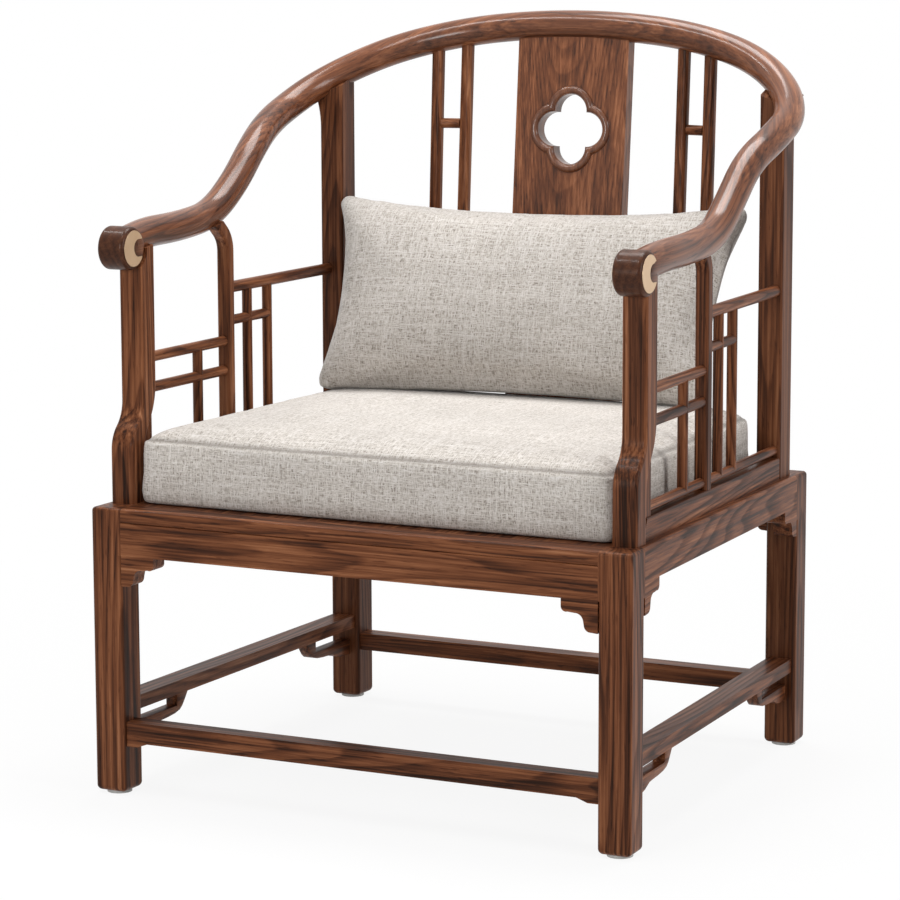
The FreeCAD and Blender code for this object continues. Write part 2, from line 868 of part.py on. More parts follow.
def mid_post():
    """Slim post whose head bends forward under the arm."""
    x_mid, y_mid = mid_post_place()
    half = mid_post_size / 2
    x = x_mid - half
    foot = seat_height + floor_rail_high
    turn = math.radians(mid_bend_turn)
    hub = V(x, y_mid - mid_bend_radius, mid_bend_start)

    def around(radius, angle):
        return hub.add(V(0, radius * math.cos(angle), radius * math.sin(angle)))

    outer = mid_bend_radius + half
    inner = mid_bend_radius - half
    ahead = V(0, -math.sin(turn), math.cos(turn)).multiply(mid_bend_radius)
    outer_end = around(outer, turn)
    inner_end = around(inner, turn)
    edges = [line(V(x, y_mid + half, foot), around(outer, 0))]
    edges.append(Part.Arc(around(outer, 0), around(outer, turn / 2), outer_end).toShape())
    edges.append(line(outer_end, outer_end.add(ahead)))
    edges.append(line(outer_end.add(ahead), inner_end.add(ahead)))
    edges.append(line(inner_end.add(ahead), inner_end))
    edges.append(Part.Arc(inner_end, around(inner, turn / 2), around(inner, 0)).toShape())
    edges.append(line(around(inner, 0), V(x, y_mid - half, foot)))
    edges.append(line(V(x, y_mid - half, foot), V(x, y_mid + half, foot)))
    post = filled(edges, V(mid_post_size, 0, 0))

    def long_edge(edge):
        middle = edge.CenterOfMass
        on_side = abs(abs(middle.x - x_mid) - half) < fit
        lowest = edge.BoundBox.ZMax < foot + fit
        highest = edge.BoundBox.YMax < outer_end.y - half and edge.BoundBox.ZMin > outer_end.z
        return on_side and not lowest and not highest

    post = rounded(post, post_edge, long_edge)
    at, heading = rail_where("y", y_mid - mid_bend_radius / 2)
    return below_rail(post, at, heading)


# Side lattice


def bar_point(y, height):
    return V(side_x(y, lattice_inset), y, height)


def lattice_bar(y0, y1, height, radius):
    return rod(bar_point(y0, height), bar_point(y1, height), radius)


def front_post_back():
    return front_y + front_post_setback + front_post_offset + front_post_deep


def rear_post_front():
    return rear_post_middle()[1] - rear_post_deep / 2


def mid_faces():
    y = mid_post_place()[1]
    return y - mid_post_size / 2, y + mid_post_size / 2


def floor_rail():
    """Rail lying on the seat frame between the posts, its front end cut on a slant."""
    y0 = front_y + front_post_setback + front_post_member
    z1 = seat_height + floor_rail_high
    rail = side_bar(y0, rear_post_front(), floor_rail_inset, floor_rail_wide, seat_height, z1)

    def top_edge(edge):
        at_top = edge.BoundBox.ZMin > seat_height + floor_rail_high - fit
        return at_top and edge.Length > leg_size

    rail = rounded(rail, floor_rail_edge, top_edge)
    corners = [V(0, y0, seat_height), V(0, y0, z1), V(0, y0 + floor_rail_slant, z1)]
    return rail.cut(prism(corners, V(front_width, 0, 0)))


def upright(y, z0, z1):
    return rod(bar_point(y, z0), bar_point(y, z1), upright_radius)


def lap(y, height, radius, wide, inner):
    """Half of the crossing of an upright and a bar, for a cross lap."""
    x = side_x(y, lattice_inset)
    if inner:
        return box(x - radius * 2, x + fit, y - wide, y + wide, height - radius * 2, height + radius * 2)
    return box(x - fit, x + radius * 2, y - wide, y + wide, height - radius * 2, height + radius * 2)


# Back


def leaning(shape, foot_y, top):
    """Tilt an upright back member so that its axis meets the rail's centre."""
    angle = math.degrees(math.atan2(top.y - foot_y, top.z - seat_height))
    tilted = shape.copy()
    tilted.rotate(V(0, foot_y, seat_height), V(1, 0, 0), -angle)
    return tilted


def lobes(radius, y0, y1):
    """Quatrefoil prism: four round lobes about a square middle."""
    core = window_offset * 2 / 3
    parts = [box(-core, core, y0, y1, window_height - core, window_height + core)]
    for dx, dz in ((1, 0), (-1, 0), (0, 1), (0, -1)):
        at = V(dx * window_offset, y0, window_height + dz * window_offset)
        parts.append(Part.makeCylinder(radius, y1 - y0, at, V(0, 1, 0)))
    return fused(parts)


def splat_foot_y():
    return rear_y - splat_foot_from_back


def splat_blank():
    y = splat_foot_y()
    half = splat_thick / 2
    wide = splat_wide / 2
    return box(-wide, wide, y - half, y + half, seat_height, crest_height)


def splat_tenons(make):
    y = splat_foot_y()
    top = crest_height - rail_radius + splat_tenon_long
    half = splat_tenon_thick / 2
    wide = splat_tenon_wide / 2
    z0 = seat_height - splat_tenon_long
    foot = make(-wide, wide, y - half, y + half, z0, seat_height + splat_tenon_long)
    head = make(-wide, wide, y - half, y + half, top - splat_tenon_long * 2, top)
    return [foot, head]


def window_moulding():
    """Lining of the window with a round bead standing proud on both faces."""
    y = splat_foot_y()
    half = splat_thick / 2
    ring = lobes(window_lobe + window_bead, y - half, y + half)
    ring = ring.cut(lobes(window_lobe, y - half - overrun, y + half + overrun))
    bead = window_bead / 2 - fit
    radius = window_lobe + window_bead / 2
    reach = window_offset + window_lobe + window_bead + fit
    for face in (y - half + bead_sink, y + half - bead_sink):
        for dx, dz in ((1, 0), (0, 1), (-1, 0), (0, -1)):
            at = V(dx * window_offset, face, window_height + dz * window_offset)
            torus = Part.makeTorus(radius, bead, at, V(0, 1, 0))
            middle = V(0, face - bead, window_height)
            left = middle.add(V(reach * (dx - dz), 0, reach * (dz + dx)))
            right = middle.add(V(reach * (dx + dz), 0, reach * (dz - dx)))
            wedge = prism([middle, left, right], V(0, bead * 2, 0))
            ring = ring.fuse(torus.common(wedge))
    core = window_offset / 2
    inside = box(-core, core, y - overrun, y + overrun, window_height - core, window_height + core)
    return ring.cut(inside)


def rod_foot_y():
    return rear_y - rod_foot_from_back


def rod_top(x):
    return rail_where("x", x)[0]


def back_rod(x):
    y = rod_foot_y()
    half = rod_size / 2
    post = box(x - half, x + half, y - half, y + half, seat_height, rod_top(x).z)
    return rounded(post, rod_edge, upright_edge)


def rod_tenons(x, extra):
    y = rod_foot_y()
    z0 = seat_height - rod_tenon_long
    z1 = rod_top(x).z - rail_radius + rod_tenon_long
    long = z1 - z0 + extra * 2
    return Part.makeCylinder(rod_tenon_radius + extra, long, V(x, y, z0 - extra), V(0, 0, 1))


def rod_link(extra):
    """Short round link between the rods of a pair, with a pin at each end."""
    half = rod_size / 2
    outer = rod_top(outer_rod_x)
    inner = rod_top(inner_rod_x)
    y_outer = rod_foot_y() + (outer.y - rod_foot_y()) * (rod_link_height - seat_height) / (
        outer.z - seat_height
    )
    y_inner = rod_foot_y() + (inner.y - rod_foot_y()) * (rod_link_height - seat_height) / (
        inner.z - seat_height
    )
    p = V(inner_rod_x + half, y_inner, rod_link_height)
    q = V(outer_rod_x - half, y_outer, rod_link_height)
    way = q.sub(p).normalize().multiply(rod_link_pin_long + extra)
    pin = rod(p.sub(way), q.add(way), rod_link_pin + extra)
    if extra > 0:
        return pin
    band = box(inner_rod_x + half, outer_rod_x - half, y_inner - overrun, y_outer + overrun,
               rod_link_height - overrun, rod_link_height + overrun)
    longer = q.sub(p).normalize().multiply(half)
    return rod(p.sub(longer), q.add(longer), rod_link_radius).common(band).fuse(pin)


# Soft pieces


def ring_wire(corners, draw, radius, place):
    """Closed outline through rounded corners, each side bowed by its draw."""
    edges = []
    count = len(corners)
    cut = []
    for i in range(count):
        here = corners[i]
        before = corners[i - 1]
        after = corners[(i + 1) % count]
        back = before.sub(here).normalize().multiply(radius)
        ahead = after.sub(here).normalize().multiply(radius)
        inward = V(back).add(ahead).multiply(0.29)
        cut.append((here.add(back), here.add(inward), here.add(ahead)))
    for i in range(count):
        a, b, c = cut[i]
        edges.append(Part.Arc(place(a), place(b), place(c)).toShape())
        nxt = cut[(i + 1) % count][0]
        middle = V(c).add(nxt).multiply(1 / 2)
        way = nxt.sub(c).normalize()
        normal = V(way.y, -way.x, 0).multiply(draw[i])
        edges.append(Part.Arc(place(c), place(middle.add(normal)), place(nxt)).toShape())
    return Part.Wire(edges)


def cushion_ring(z, inset, bow):
    y0 = front_y + cushion_front + inset
    y1 = front_y + cushion_back - inset
    xf = cushion_front_half - inset
    xr = cushion_rear_half - inset
    corners = [V(-xf, y0, 0), V(xf, y0, 0), V(xr, y1, 0), V(-xr, y1, 0)]
    return ring_wire(corners, [bow] * 4, cushion_corner, lambda p: V(p.x, p.y, z))


def seat_cushion():
    """Boxed cushion: full sides drawn in at bottom and seam, and a soft crown."""
    base = seat_height + soft_gap
    box_rings = []
    for share, draw in boxing_shares:
        z = base + share * cushion_seam_high
        box_rings.append(cushion_ring(z, draw * cushion_corner, cushion_bow * (1 - draw * 4)))
    crown_rings = []
    for share, draw in crown_shares:
        z = base + cushion_seam_high + share * cushion_crown
        crown_rings.append(cushion_ring(z, draw * cushion_corner, cushion_bow))
    body = Part.makeLoft(box_rings, True)
    crown = Part.makeLoft(crown_rings, True)
    return body.fuse(crown)


def pillow_ring(depth, inset):
    top = pillow_high / 2 - inset
    low = -pillow_high / 2 + inset
    wide_top = pillow_top_half - inset
    wide_low = pillow_bottom_half - inset
    corners = [V(-wide_low, low, 0), V(wide_low, low, 0), V(wide_top, top, 0), V(-wide_top, top, 0)]
    keep = 1 - inset / (pillow_high / 2)
    side = -pillow_side_draw * keep
    draw = [-pillow_draw * keep / 2, side, -pillow_draw * keep, side]
    return ring_wire(corners, draw, pillow_corner, lambda p: V(p.x, -depth, p.y))


def back_pillow():
    """Knife-edge pillow, two crowned halves meeting at the welted seam."""
    half = pillow_thick / 2
    front = []
    back = []
    for share, draw in pillow_shares:
        inset = draw * pillow_high / 2 * 2
        front.append(pillow_ring(share * half, inset))
        back.append(pillow_ring(-share * half, inset))
    shape = Part.makeLoft(front, True).fuse(Part.makeLoft(back, True))
    shape.rotate(V(0, 0, 0), V(1, 0, 0), -pillow_lean)
    shape.rotate(V(0, 0, 0), V(0, 0, 1), pillow_turn)
    seam_top = seat_height + cushion_seam_high + cushion_crown
    shape.translate(V(-pillow_shift, front_y + pillow_from_front, seam_top + pillow_lift))
    return shape


# Assembly


def build():
    pieces = {}
    fl = front_leg()
    rl = rear_leg()
    front_rail = cross_rail(front_y, front_rail_high, -1).cut(front_groove())
    rear_rail = cross_rail(rear_y, side_rail_high, 1)
    side = side_rail().fuse(side_rail_tenon(0))

    for high, outer_y, sign in ((front_rail_high, front_y, -1), (side_rail_high, rear_y, 1)):
        tenon = cross_rail_tenon(outer_y, high, sign, box)
        socket = cross_rail_tenon(outer_y, high, sign, grown)
        if sign < 0:
            front_rail = front_rail.fuse([tenon, mirrored(tenon)])
            fl = fl.cut(socket)
        else:
            rear_rail = rear_rail.fuse([tenon, mirrored(tenon)])
            rl = rl.cut(socket)
    fl = fl.cut(side_rail_tenon(fit))
    rl = rl.cut(side_rail_tenon(fit))

    front_y0 = front_y + stretcher_setback
    rear_y0 = rear_y - rear_stretcher_setback - stretcher_deep
    front_bar = cross_stretcher(front_y0, front_stretcher_top, front_stretcher_high, stretcher_swell)
    rear_bar = cross_stretcher(rear_y0, rear_stretcher_top, rear_stretcher_high, 0)
    front_args = (front_y0, front_stretcher_top, front_stretcher_high)
    rear_args = (rear_y0, rear_stretcher_top, rear_stretcher_high)
    tenon = cross_stretcher_tenon(*front_args, box)
    front_bar = front_bar.fuse([tenon, mirrored(tenon)])
    tenon = cross_stretcher_tenon(*rear_args, box)
    rear_bar = rear_bar.fuse([tenon, mirrored(tenon)])
    fl = fl.cut(cross_stretcher_tenon(*front_args, grown))
    rl = rl.cut(cross_stretcher_tenon(*rear_args, grown))
    fl = fl.cut(side_stretcher_tenon(fit))
    rl = rl.cut(side_stretcher_tenon(fit))
    side_foot = side_stretcher().fuse(side_stretcher_tenon(0))
    fl = fl.cut(glide(front_y, fit))
    rl = rl.cut(glide(rear_y - leg_size, fit))
    # the straight stretchers' ends stop at the tapered legs
    for bar, args, y0 in ((0, front_args, front_y), (1, rear_args, rear_y - leg_size)):
        end = leg_plan(y0, y0 + leg_size, 0, seat_height).cut(cross_stretcher_tenon(*args, grown))
        if bar == 0:
            front_bar = front_bar.cut([end, mirrored(end)])
        else:
            rear_bar = rear_bar.cut([end, mirrored(end)])

    panel = panel_plan(panel_rebate, seat_height - panel_thick, seat_height)
    room = panel_plan(panel_rebate + fit, seat_height - panel_thick, seat_height + overrun)
    for y0 in (front_y, rear_y - leg_size):
        corner = side_bar(y0 - fit, y0 + leg_size + fit, -fit, leg_size + fit * 2, 0, seat_height * 2)
        panel = panel.cut([corner, mirrored(corner)])
    front_rail = front_rail.cut(room)
    rear_rail = rear_rail.cut(room)
    side = side.cut(room)

    battens = [batten(x, 0) for x in (-batten_apart / 2, batten_apart / 2)]
    for x in (-batten_apart / 2, batten_apart / 2):
        socket = batten(x, fit)
        front_rail = front_rail.cut(socket)
        rear_rail = rear_rail.cut(socket)

    post = front_post()
    x, y = front_post_foot()
    post = post.fuse(foot_tenon(x, y, box))
    socket = foot_tenon(x, y, grown)
    base = floor_rail().cut(socket)
    side = side.cut(socket)
    panel = panel.cut([socket, mirrored(socket)])
    x, y, z = front_post_head()
    post = post.fuse(head_tenon(x, y, z, box))
    arm, shoulder, crest = rail_sections()
    arm = arm.fuse(arm_roll())
    arm = arm.cut(head_tenon(x, y, z, grown))

    back_post = rear_post()
    x, y = rear_post_middle()
    z = rail_where("y", y)[0].z
    back_post = back_post.fuse([foot_tenon(x, y, box), head_tenon(x, y, z, box)])
    socket = foot_tenon(x, y, grown)
    side = side.cut(socket)
    panel = panel.cut([socket, mirrored(socket)])
    shoulder = shoulder.cut(head_tenon(x, y, z, grown))
    arm = arm.cut(crescents(fit, brass_sunk))
    brass = crescents(0, brass_sunk)

    middle = mid_post()
    near, far = mid_faces()
    x, y = mid_post_place()
    foot_half = mid_post_size / 4
    foot_z = seat_height + floor_rail_high
    peg_z = (foot_z - bar_housing * 2, foot_z + post_edge)
    peg = (x - foot_half, x + foot_half, y - foot_half, y + foot_half, *peg_z)
    middle = middle.fuse(box(*peg))
    base = base.cut(grown(*peg))

    y_front = front_post_back()
    y_rear = rear_post_front()
    low = lattice_bar(y_front - bar_housing, y_rear + bar_housing, low_bar_height, low_bar_radius)
    second = lattice_bar(y_front - bar_housing, near + bar_housing, second_bar_height, front_bar_radius)
    top = lattice_bar(y_front - bar_housing, near + bar_housing, top_bar_height, front_bar_radius)
    upper = lattice_bar(far - bar_housing, y_rear + bar_housing, rear_bar_height, rear_bar_radius)
    y1 = front_y + first_upright_from_front
    y2 = front_y + second_upright_from_front
    y3 = front_y + third_upright_from_front
    link = lattice_bar(far - bar_housing, y3, link_bar_height, link_bar_radius)
    up1 = upright(y1, low_bar_height, top_bar_height)
    up2 = upright(y2, low_bar_height, rear_bar_height)
    up3 = upright(y3, low_bar_height, rear_bar_height)

    holes = (
        (y_front - bar_housing, y_rear + bar_housing, low_bar_height, low_bar_radius),
        (y_front - bar_housing, near + bar_housing, second_bar_height, front_bar_radius),
        (y_front - bar_housing, near + bar_housing, top_bar_height, front_bar_radius),
        (far - bar_housing, y_rear + bar_housing, rear_bar_height, rear_bar_radius),
        (far - bar_housing, y3, link_bar_height, link_bar_radius),
    )
    thick = []
    for a, b, height, radius in holes:
        thick.append(lattice_bar(a - fit, b + fit, height, radius + fit))
    post = post.cut(thick[:3])
    middle = middle.cut(thick)
    back_post = back_post.cut([thick[0], thick[3]])
    up1 = up1.cut([thick[0], thick[2]])
    up1 = up1.cut(lap(y1, second_bar_height, front_bar_radius, upright_radius * 2, True).common(thick[1]))
    second = second.cut(
        lap(y1, second_bar_height, upright_radius, upright_radius * 2, False).common(
            rod(bar_point(y1, low_bar_height), bar_point(y1, top_bar_height), upright_radius + fit)
        )
    )
    up2 = up2.cut([thick[0], thick[3]])
    up2 = up2.cut(lap(y2, link_bar_height, link_bar_radius, upright_radius * 2, True).common(thick[4]))
    link = link.cut(
        lap(y2, link_bar_height, upright_radius, upright_radius * 2, False).common(
            rod(bar_point(y2, low_bar_height), bar_point(y2, rear_bar_height), upright_radius + fit)
        )
    )
    up3 = up3.cut([thick[0], thick[3]])
    link = link.cut(rod(bar_point(y3, low_bar_height), bar_point(y3, rear_bar_height), upright_radius + fit))
    link = largest(link)

    crest_top = V(0, front_y + arm_setback + rail_run, crest_height)
    splat = splat_blank().cut(lobes(window_lobe + window_bead + fit, rear_y - overrun, rear_y + overrun))
    splat = leaning(splat, splat_foot_y(), crest_top).cut(box(
        -overrun * 2, overrun * 2, 0, rear_y * 2, 0, seat_height))
    moulding = leaning(window_moulding(), splat_foot_y(), crest_top)
    whole_crest = crest.fuse(mirrored(crest))
    both = [thick_rail, mirrored(thick_rail)]
    splat = largest(splat.cut(both))
    for tongue, socket in zip(splat_tenons(box), splat_tenons(grown)):
        tongue = leaning(tongue, splat_foot_y(), crest_top)
        socket = leaning(socket, splat_foot_y(), crest_top)
        splat = splat.fuse(tongue)
        rear_rail = rear_rail.cut(socket)
        panel = panel.cut(socket)
        whole_crest = whole_crest.cut(socket)

    rods = []
    for x in (outer_rod_x, inner_rod_x):
        aim = rod_top(x)
        stick = leaning(back_rod(x), rod_foot_y(), aim)
        stick = stick.cut(box(x - overrun, x + overrun, 0, rear_y * 2, 0, seat_height))
        stick = largest(stick.cut(thick_rail))
        stick = stick.fuse(leaning(rod_tenons(x, 0), rod_foot_y(), aim)).cut(rod_link(fit))
        socket = leaning(rod_tenons(x, fit), rod_foot_y(), aim)
        rear_rail = rear_rail.cut([socket, mirrored(socket)])
        whole_crest = whole_crest.cut([socket, mirrored(socket)])
        rods.append(stick)

    ogee_front = cross_bracket(front_y, front_rail_high, -1)
    ogee_rear = cross_bracket(rear_y, side_rail_high, 1)
    ogee_sides = [side_bracket(front_y + leg_size, 1), side_bracket(rear_y - leg_size, -1)]
    scrolls = [scroll_bracket(front_y + leg_size, 1), scroll_bracket(rear_y - leg_size, -1)]

    pieces["front_rail"] = [front_rail]
    pieces["rear_rail"] = [rear_rail]
    pieces["front_stretcher"] = [front_bar]
    pieces["rear_stretcher"] = [rear_bar]
    pieces["seat_panel"] = [panel]
    pieces["seat_battens"] = battens
    pieces["front_brackets"] = [ogee_front, mirrored(ogee_front)]
    pieces["rear_brackets"] = [ogee_rear, mirrored(ogee_rear)]
    glides = [glide(front_y, 0), glide(rear_y - leg_size, 0)]
    pieces["foot_glides"] = glides + [mirrored(g) for g in glides]
    pieces["rail_crest"] = [whole_crest]
    pieces["brass_crescents"] = brass + [mirrored(b) for b in brass]
    pieces["splat"] = [splat]
    pieces["window_moulding"] = [moulding]
    pieces["rod_links"] = [rod_link(0), mirrored(rod_link(0))]
    pieces["seat_cushion"] = [seat_cushion()]
    pieces["back_pillow"] = [back_pillow()]
    sided = {
        "front_leg": [fl], "rear_leg": [rl], "side_rail": [side], "side_stretcher": [side_foot],
        "side_brackets": ogee_sides, "scroll_brackets": scrolls, "front_post": [post],
        "rear_post": [back_post], "mid_post": [middle], "rail_arm": [arm],
        "rail_shoulder": [shoulder], "floor_rail": [base],
        "lattice_low_bar": [low], "lattice_second_bar": [second], "lattice_top_bar": [top],
        "lattice_rear_bar": [upper], "lattice_link": [link], "lattice_upright_1": [up1],
        "lattice_upright_2": [up2], "lattice_upright_3": [up3], "outer_rod": [rods[0]],
        "inner_rod": [rods[1]],
    }
    for name, shapes in sided.items():
        pieces[name + "_right"] = shapes
        pieces[name + "_left"] = [mirrored(s) for s in shapes]
    return pieces


def main():
    os.makedirs("parts", exist_ok=True)
    pieces = build()
    back = front_y + arm_setback + rail_run + rail_radius
    centre = -(front_y + back) / 2
    for name, shapes in sorted(pieces.items()):
        solids = [solid for shape in shapes for solid in shape.Solids]
        for solid in solids:
            solid.translate(V(0, centre, 0))
        whole = solids[0] if len(solids) == 1 else Part.makeCompound(solids)
        whole.exportStep("parts/" + name + ".step")
        valid = all(solid.isValid() for solid in solids)
        print(name, len(solids), valid, [round(v, 1) for v in (
            whole.BoundBox.XMin, whole.BoundBox.XMax, whole.BoundBox.YMin,
            whole.BoundBox.YMax, whole.BoundBox.ZMin, whole.BoundBox.ZMax)])
    print("depth of the middle", centre)


main()
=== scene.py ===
# %% [markdown]
# # A horseshoe back armchair in Blender
# The wooden frame comes from the construction model, so every rail, post and
# bar is already in its place. What is left for Blender is how the chair looks:
# oiled walnut with its figure, satin brass, and two linen cushions that have to
# be modelled as soft things and not as blocks.

# %% Load the frame
import bpy
import json
import math
from mathutils import Matrix, Vector


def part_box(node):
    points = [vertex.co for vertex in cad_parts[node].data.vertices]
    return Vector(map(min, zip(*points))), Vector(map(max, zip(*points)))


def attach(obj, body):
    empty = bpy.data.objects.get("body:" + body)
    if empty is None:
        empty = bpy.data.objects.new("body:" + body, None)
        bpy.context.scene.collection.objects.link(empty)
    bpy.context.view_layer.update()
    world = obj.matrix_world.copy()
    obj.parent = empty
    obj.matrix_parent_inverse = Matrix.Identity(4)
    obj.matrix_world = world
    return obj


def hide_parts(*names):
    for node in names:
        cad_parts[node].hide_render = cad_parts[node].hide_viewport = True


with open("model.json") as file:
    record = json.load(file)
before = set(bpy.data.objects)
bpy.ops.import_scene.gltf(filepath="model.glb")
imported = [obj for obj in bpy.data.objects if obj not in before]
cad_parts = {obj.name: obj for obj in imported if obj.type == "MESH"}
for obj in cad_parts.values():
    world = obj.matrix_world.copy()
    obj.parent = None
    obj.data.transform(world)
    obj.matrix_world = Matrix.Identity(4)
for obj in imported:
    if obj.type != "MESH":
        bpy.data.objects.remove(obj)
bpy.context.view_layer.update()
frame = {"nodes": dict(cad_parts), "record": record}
nodes = frame["nodes"]

# %% [markdown]
# ## The camera
# The photograph was taken with a long lens from a little above the arms and to
# the right of the chair. The camera could be nudged by eye, but the legs and
# rails are straight and square, so its place was worked out from them and is
# simply written down here. The image is taken as 900 by 900.

# %% Camera
image_size = 900
sensor_mm = 36.0
focal_pixels = 3412.17
yaw = math.radians(26.176)
pitch = math.radians(9.012)
roll = math.radians(-0.148)
stand = Vector((1.8006, -3.72225, 1.0614))
lens_centre = (452.805, 441.288)

back = Vector((math.sin(yaw) * math.cos(pitch), -math.cos(yaw) * math.cos(pitch),
               math.sin(pitch)))
level_right = Vector((math.cos(yaw), math.sin(yaw), 0))
level_up = back.cross(level_right)
right = level_right * math.cos(roll) + level_up * math.sin(roll)
up = back.cross(right)

bpy.ops.object.camera_add()
camera = bpy.context.object
camera.name = "studio_camera"
camera.data.sensor_width = sensor_mm
camera.data.lens = focal_pixels / image_size * sensor_mm
camera.data.shift_x = -(lens_centre[0] - image_size / 2) / image_size
camera.data.shift_y = (lens_centre[1] - image_size / 2) / image_size
turn = Matrix((right, up, back)).transposed().to_4x4()
camera.matrix_world = Matrix.Translation(stand) @ turn
camera.data.clip_end = 30
bpy.context.scene.camera = camera
print("lens", round(camera.data.lens, 1))

# %% [markdown]
# ## Small helpers
# A node tree is easier to read when each node is made in one line. `add` makes
# a node, sets its plain values and plugs in what feeds it. The others do the
# sums, blends and colour ramps, and find where on the piece a point lies.

# %% Node helpers


def add(tree, kind, values=None, feeds=None, **settings):
    node = tree.nodes.new("ShaderNode" + kind)
    for key, value in settings.items():
        setattr(node, key, value)
    for key, value in (values or {}).items():
        node.inputs[key].default_value = value
    for key, source in (feeds or {}).items():
        tree.links.new(source, node.inputs[key])
    return node


def new_material(name):
    material = bpy.data.materials.new(name)
    material.use_nodes = True
    material.node_tree.nodes.clear()
    return material, material.node_tree


def ramp(tree, source, stops):
    node = add(tree, "ValToRGB", feeds={"Fac": source})
    band = node.color_ramp
    while len(band.elements) < len(stops):
        band.elements.new(0.5)
    for element, (place, colour) in zip(band.elements, stops):
        element.position = place
        element.color = (*colour, 1)
    return node.outputs["Color"]


def maths(tree, operation, a, b=None, c=None):
    node = tree.nodes.new("ShaderNodeMath")
    node.operation = operation
    for slot, value in zip(node.inputs, (a, b, c)):
        if value is None:
            continue
        if isinstance(value, (int, float)):
            slot.default_value = value
        else:
            tree.links.new(value, slot)
    return node.outputs[0]


def plus(tree, a, b):
    return maths(tree, "ADD", a, b)


def minus(tree, a, b):
    return maths(tree, "SUBTRACT", a, b)


def times(tree, a, b):
    return maths(tree, "MULTIPLY", a, b)


def blend(tree, share, a, b, how="MIX"):
    node = tree.nodes.new("ShaderNodeMix")
    node.data_type = "RGBA"
    node.blend_type = how
    for index, value in ((0, share), (6, a), (7, b)):
        if isinstance(value, (int, float)):
            node.inputs[index].default_value = value
        elif isinstance(value, tuple):
            node.inputs[index].default_value = (*value, 1)
        else:
            tree.links.new(value, node.inputs[index])
    return node.outputs[2]


def spot_on(tree):
    """Where on the piece the point lies, in metres."""
    return add(tree, "TexCoord").outputs["Object"]


def parts(tree, vector):
    return add(tree, "SeparateXYZ", feeds={"Vector": vector}).outputs


def cover(tree, shader):
    add(tree, "OutputMaterial", feeds={"Surface": shader.outputs[0]})


print("helpers ready")

# %% [markdown]
# ## Walnut
# A plank shows where the saw cut the growth rings: long straight lines, or tall
# nested arches where the cut was nearly along a ring. Both come out of one
# idea. A soft noise, stretched along the grain, is read as a hilly map, and its
# height lines are the rings. Over them go broad dark streaks, fine fibres and
# short pores. Each group of pieces gets its own copy, with the grain along the
# length of the pieces, because a joiner always cuts them that way. The back
# legs and posts darken towards the back with painted shade, and the splat
# shows tall arches.

# %% Walnut material
walnut_shades = ((0.012, 0.003, 0.001), (0.050, 0.015, 0.006), (0.128, 0.041, 0.016),
                 (0.230, 0.085, 0.036), (0.370, 0.165, 0.080))
walnut_stops = (0.02, 0.24, 0.47, 0.70, 0.95)
walnut_dark = (0.030, 0.010, 0.005)
middle_tone = 0.53
base_gloss = 0.33

# How often each part of the figure comes back in a metre, across and along the grain.
hill_scale = (12.0, 1.1)
sway_scale = (60.0, 5.0)
broad_scale = (26.0, 1.5)
fine_scale = (170.0, 1.9)
fibre_scale = (430.0, 9.0)
pore_scale = (520.0, 42.0)

# How far each of them pushes the tone up or down.
broad_push, fine_push, fibre_push, pore_push = 0.8, 1.15, 0.85, 0.16

# The height lines: how many rings lie on the hills, how much they sway, and
# for arches how flat the hills become and how fast an arch falls to its sides.
ring_count = 24.0
ring_sway = 0.7
arch_calm = 0.55
arch_bow = -80.0

# Where the painted shade on the back legs and posts sets in: out from the middle, and back.
painted_shade_out = (0.22, 0.25)
painted_shade_back = (0.1, 0.2)


def grain_coordinates(tree, along):
    """Coordinates on the piece, turned so that the grain runs along the third one."""
    x, y, z = parts(tree, spot_on(tree))
    order = {"x": (y, z, x), "y": (x, z, y), "z": (x, y, z)}[along]
    joined = add(tree, "CombineXYZ", feeds={"X": order[0], "Y": order[1], "Z": order[2]})
    return joined.outputs[0]


def stretched(tree, coordinates, across, along, shift):
    mapping = add(tree, "Mapping", {"Scale": (across, across, along), "Location": shift},
                  {"Vector": coordinates})
    return mapping.outputs[0]


def smooth_step(tree, value, start, end, top=1.0):
    node = add(tree, "MapRange", {"From Min": start, "From Max": end, "To Max": top},
               {"Value": value}, interpolation_type="SMOOTHSTEP")
    return node.outputs[0]


def centred(tree, value, strength):
    """A noise value turned into a push up or down of about the given strength."""
    return times(tree, minus(tree, value, 0.5), strength)


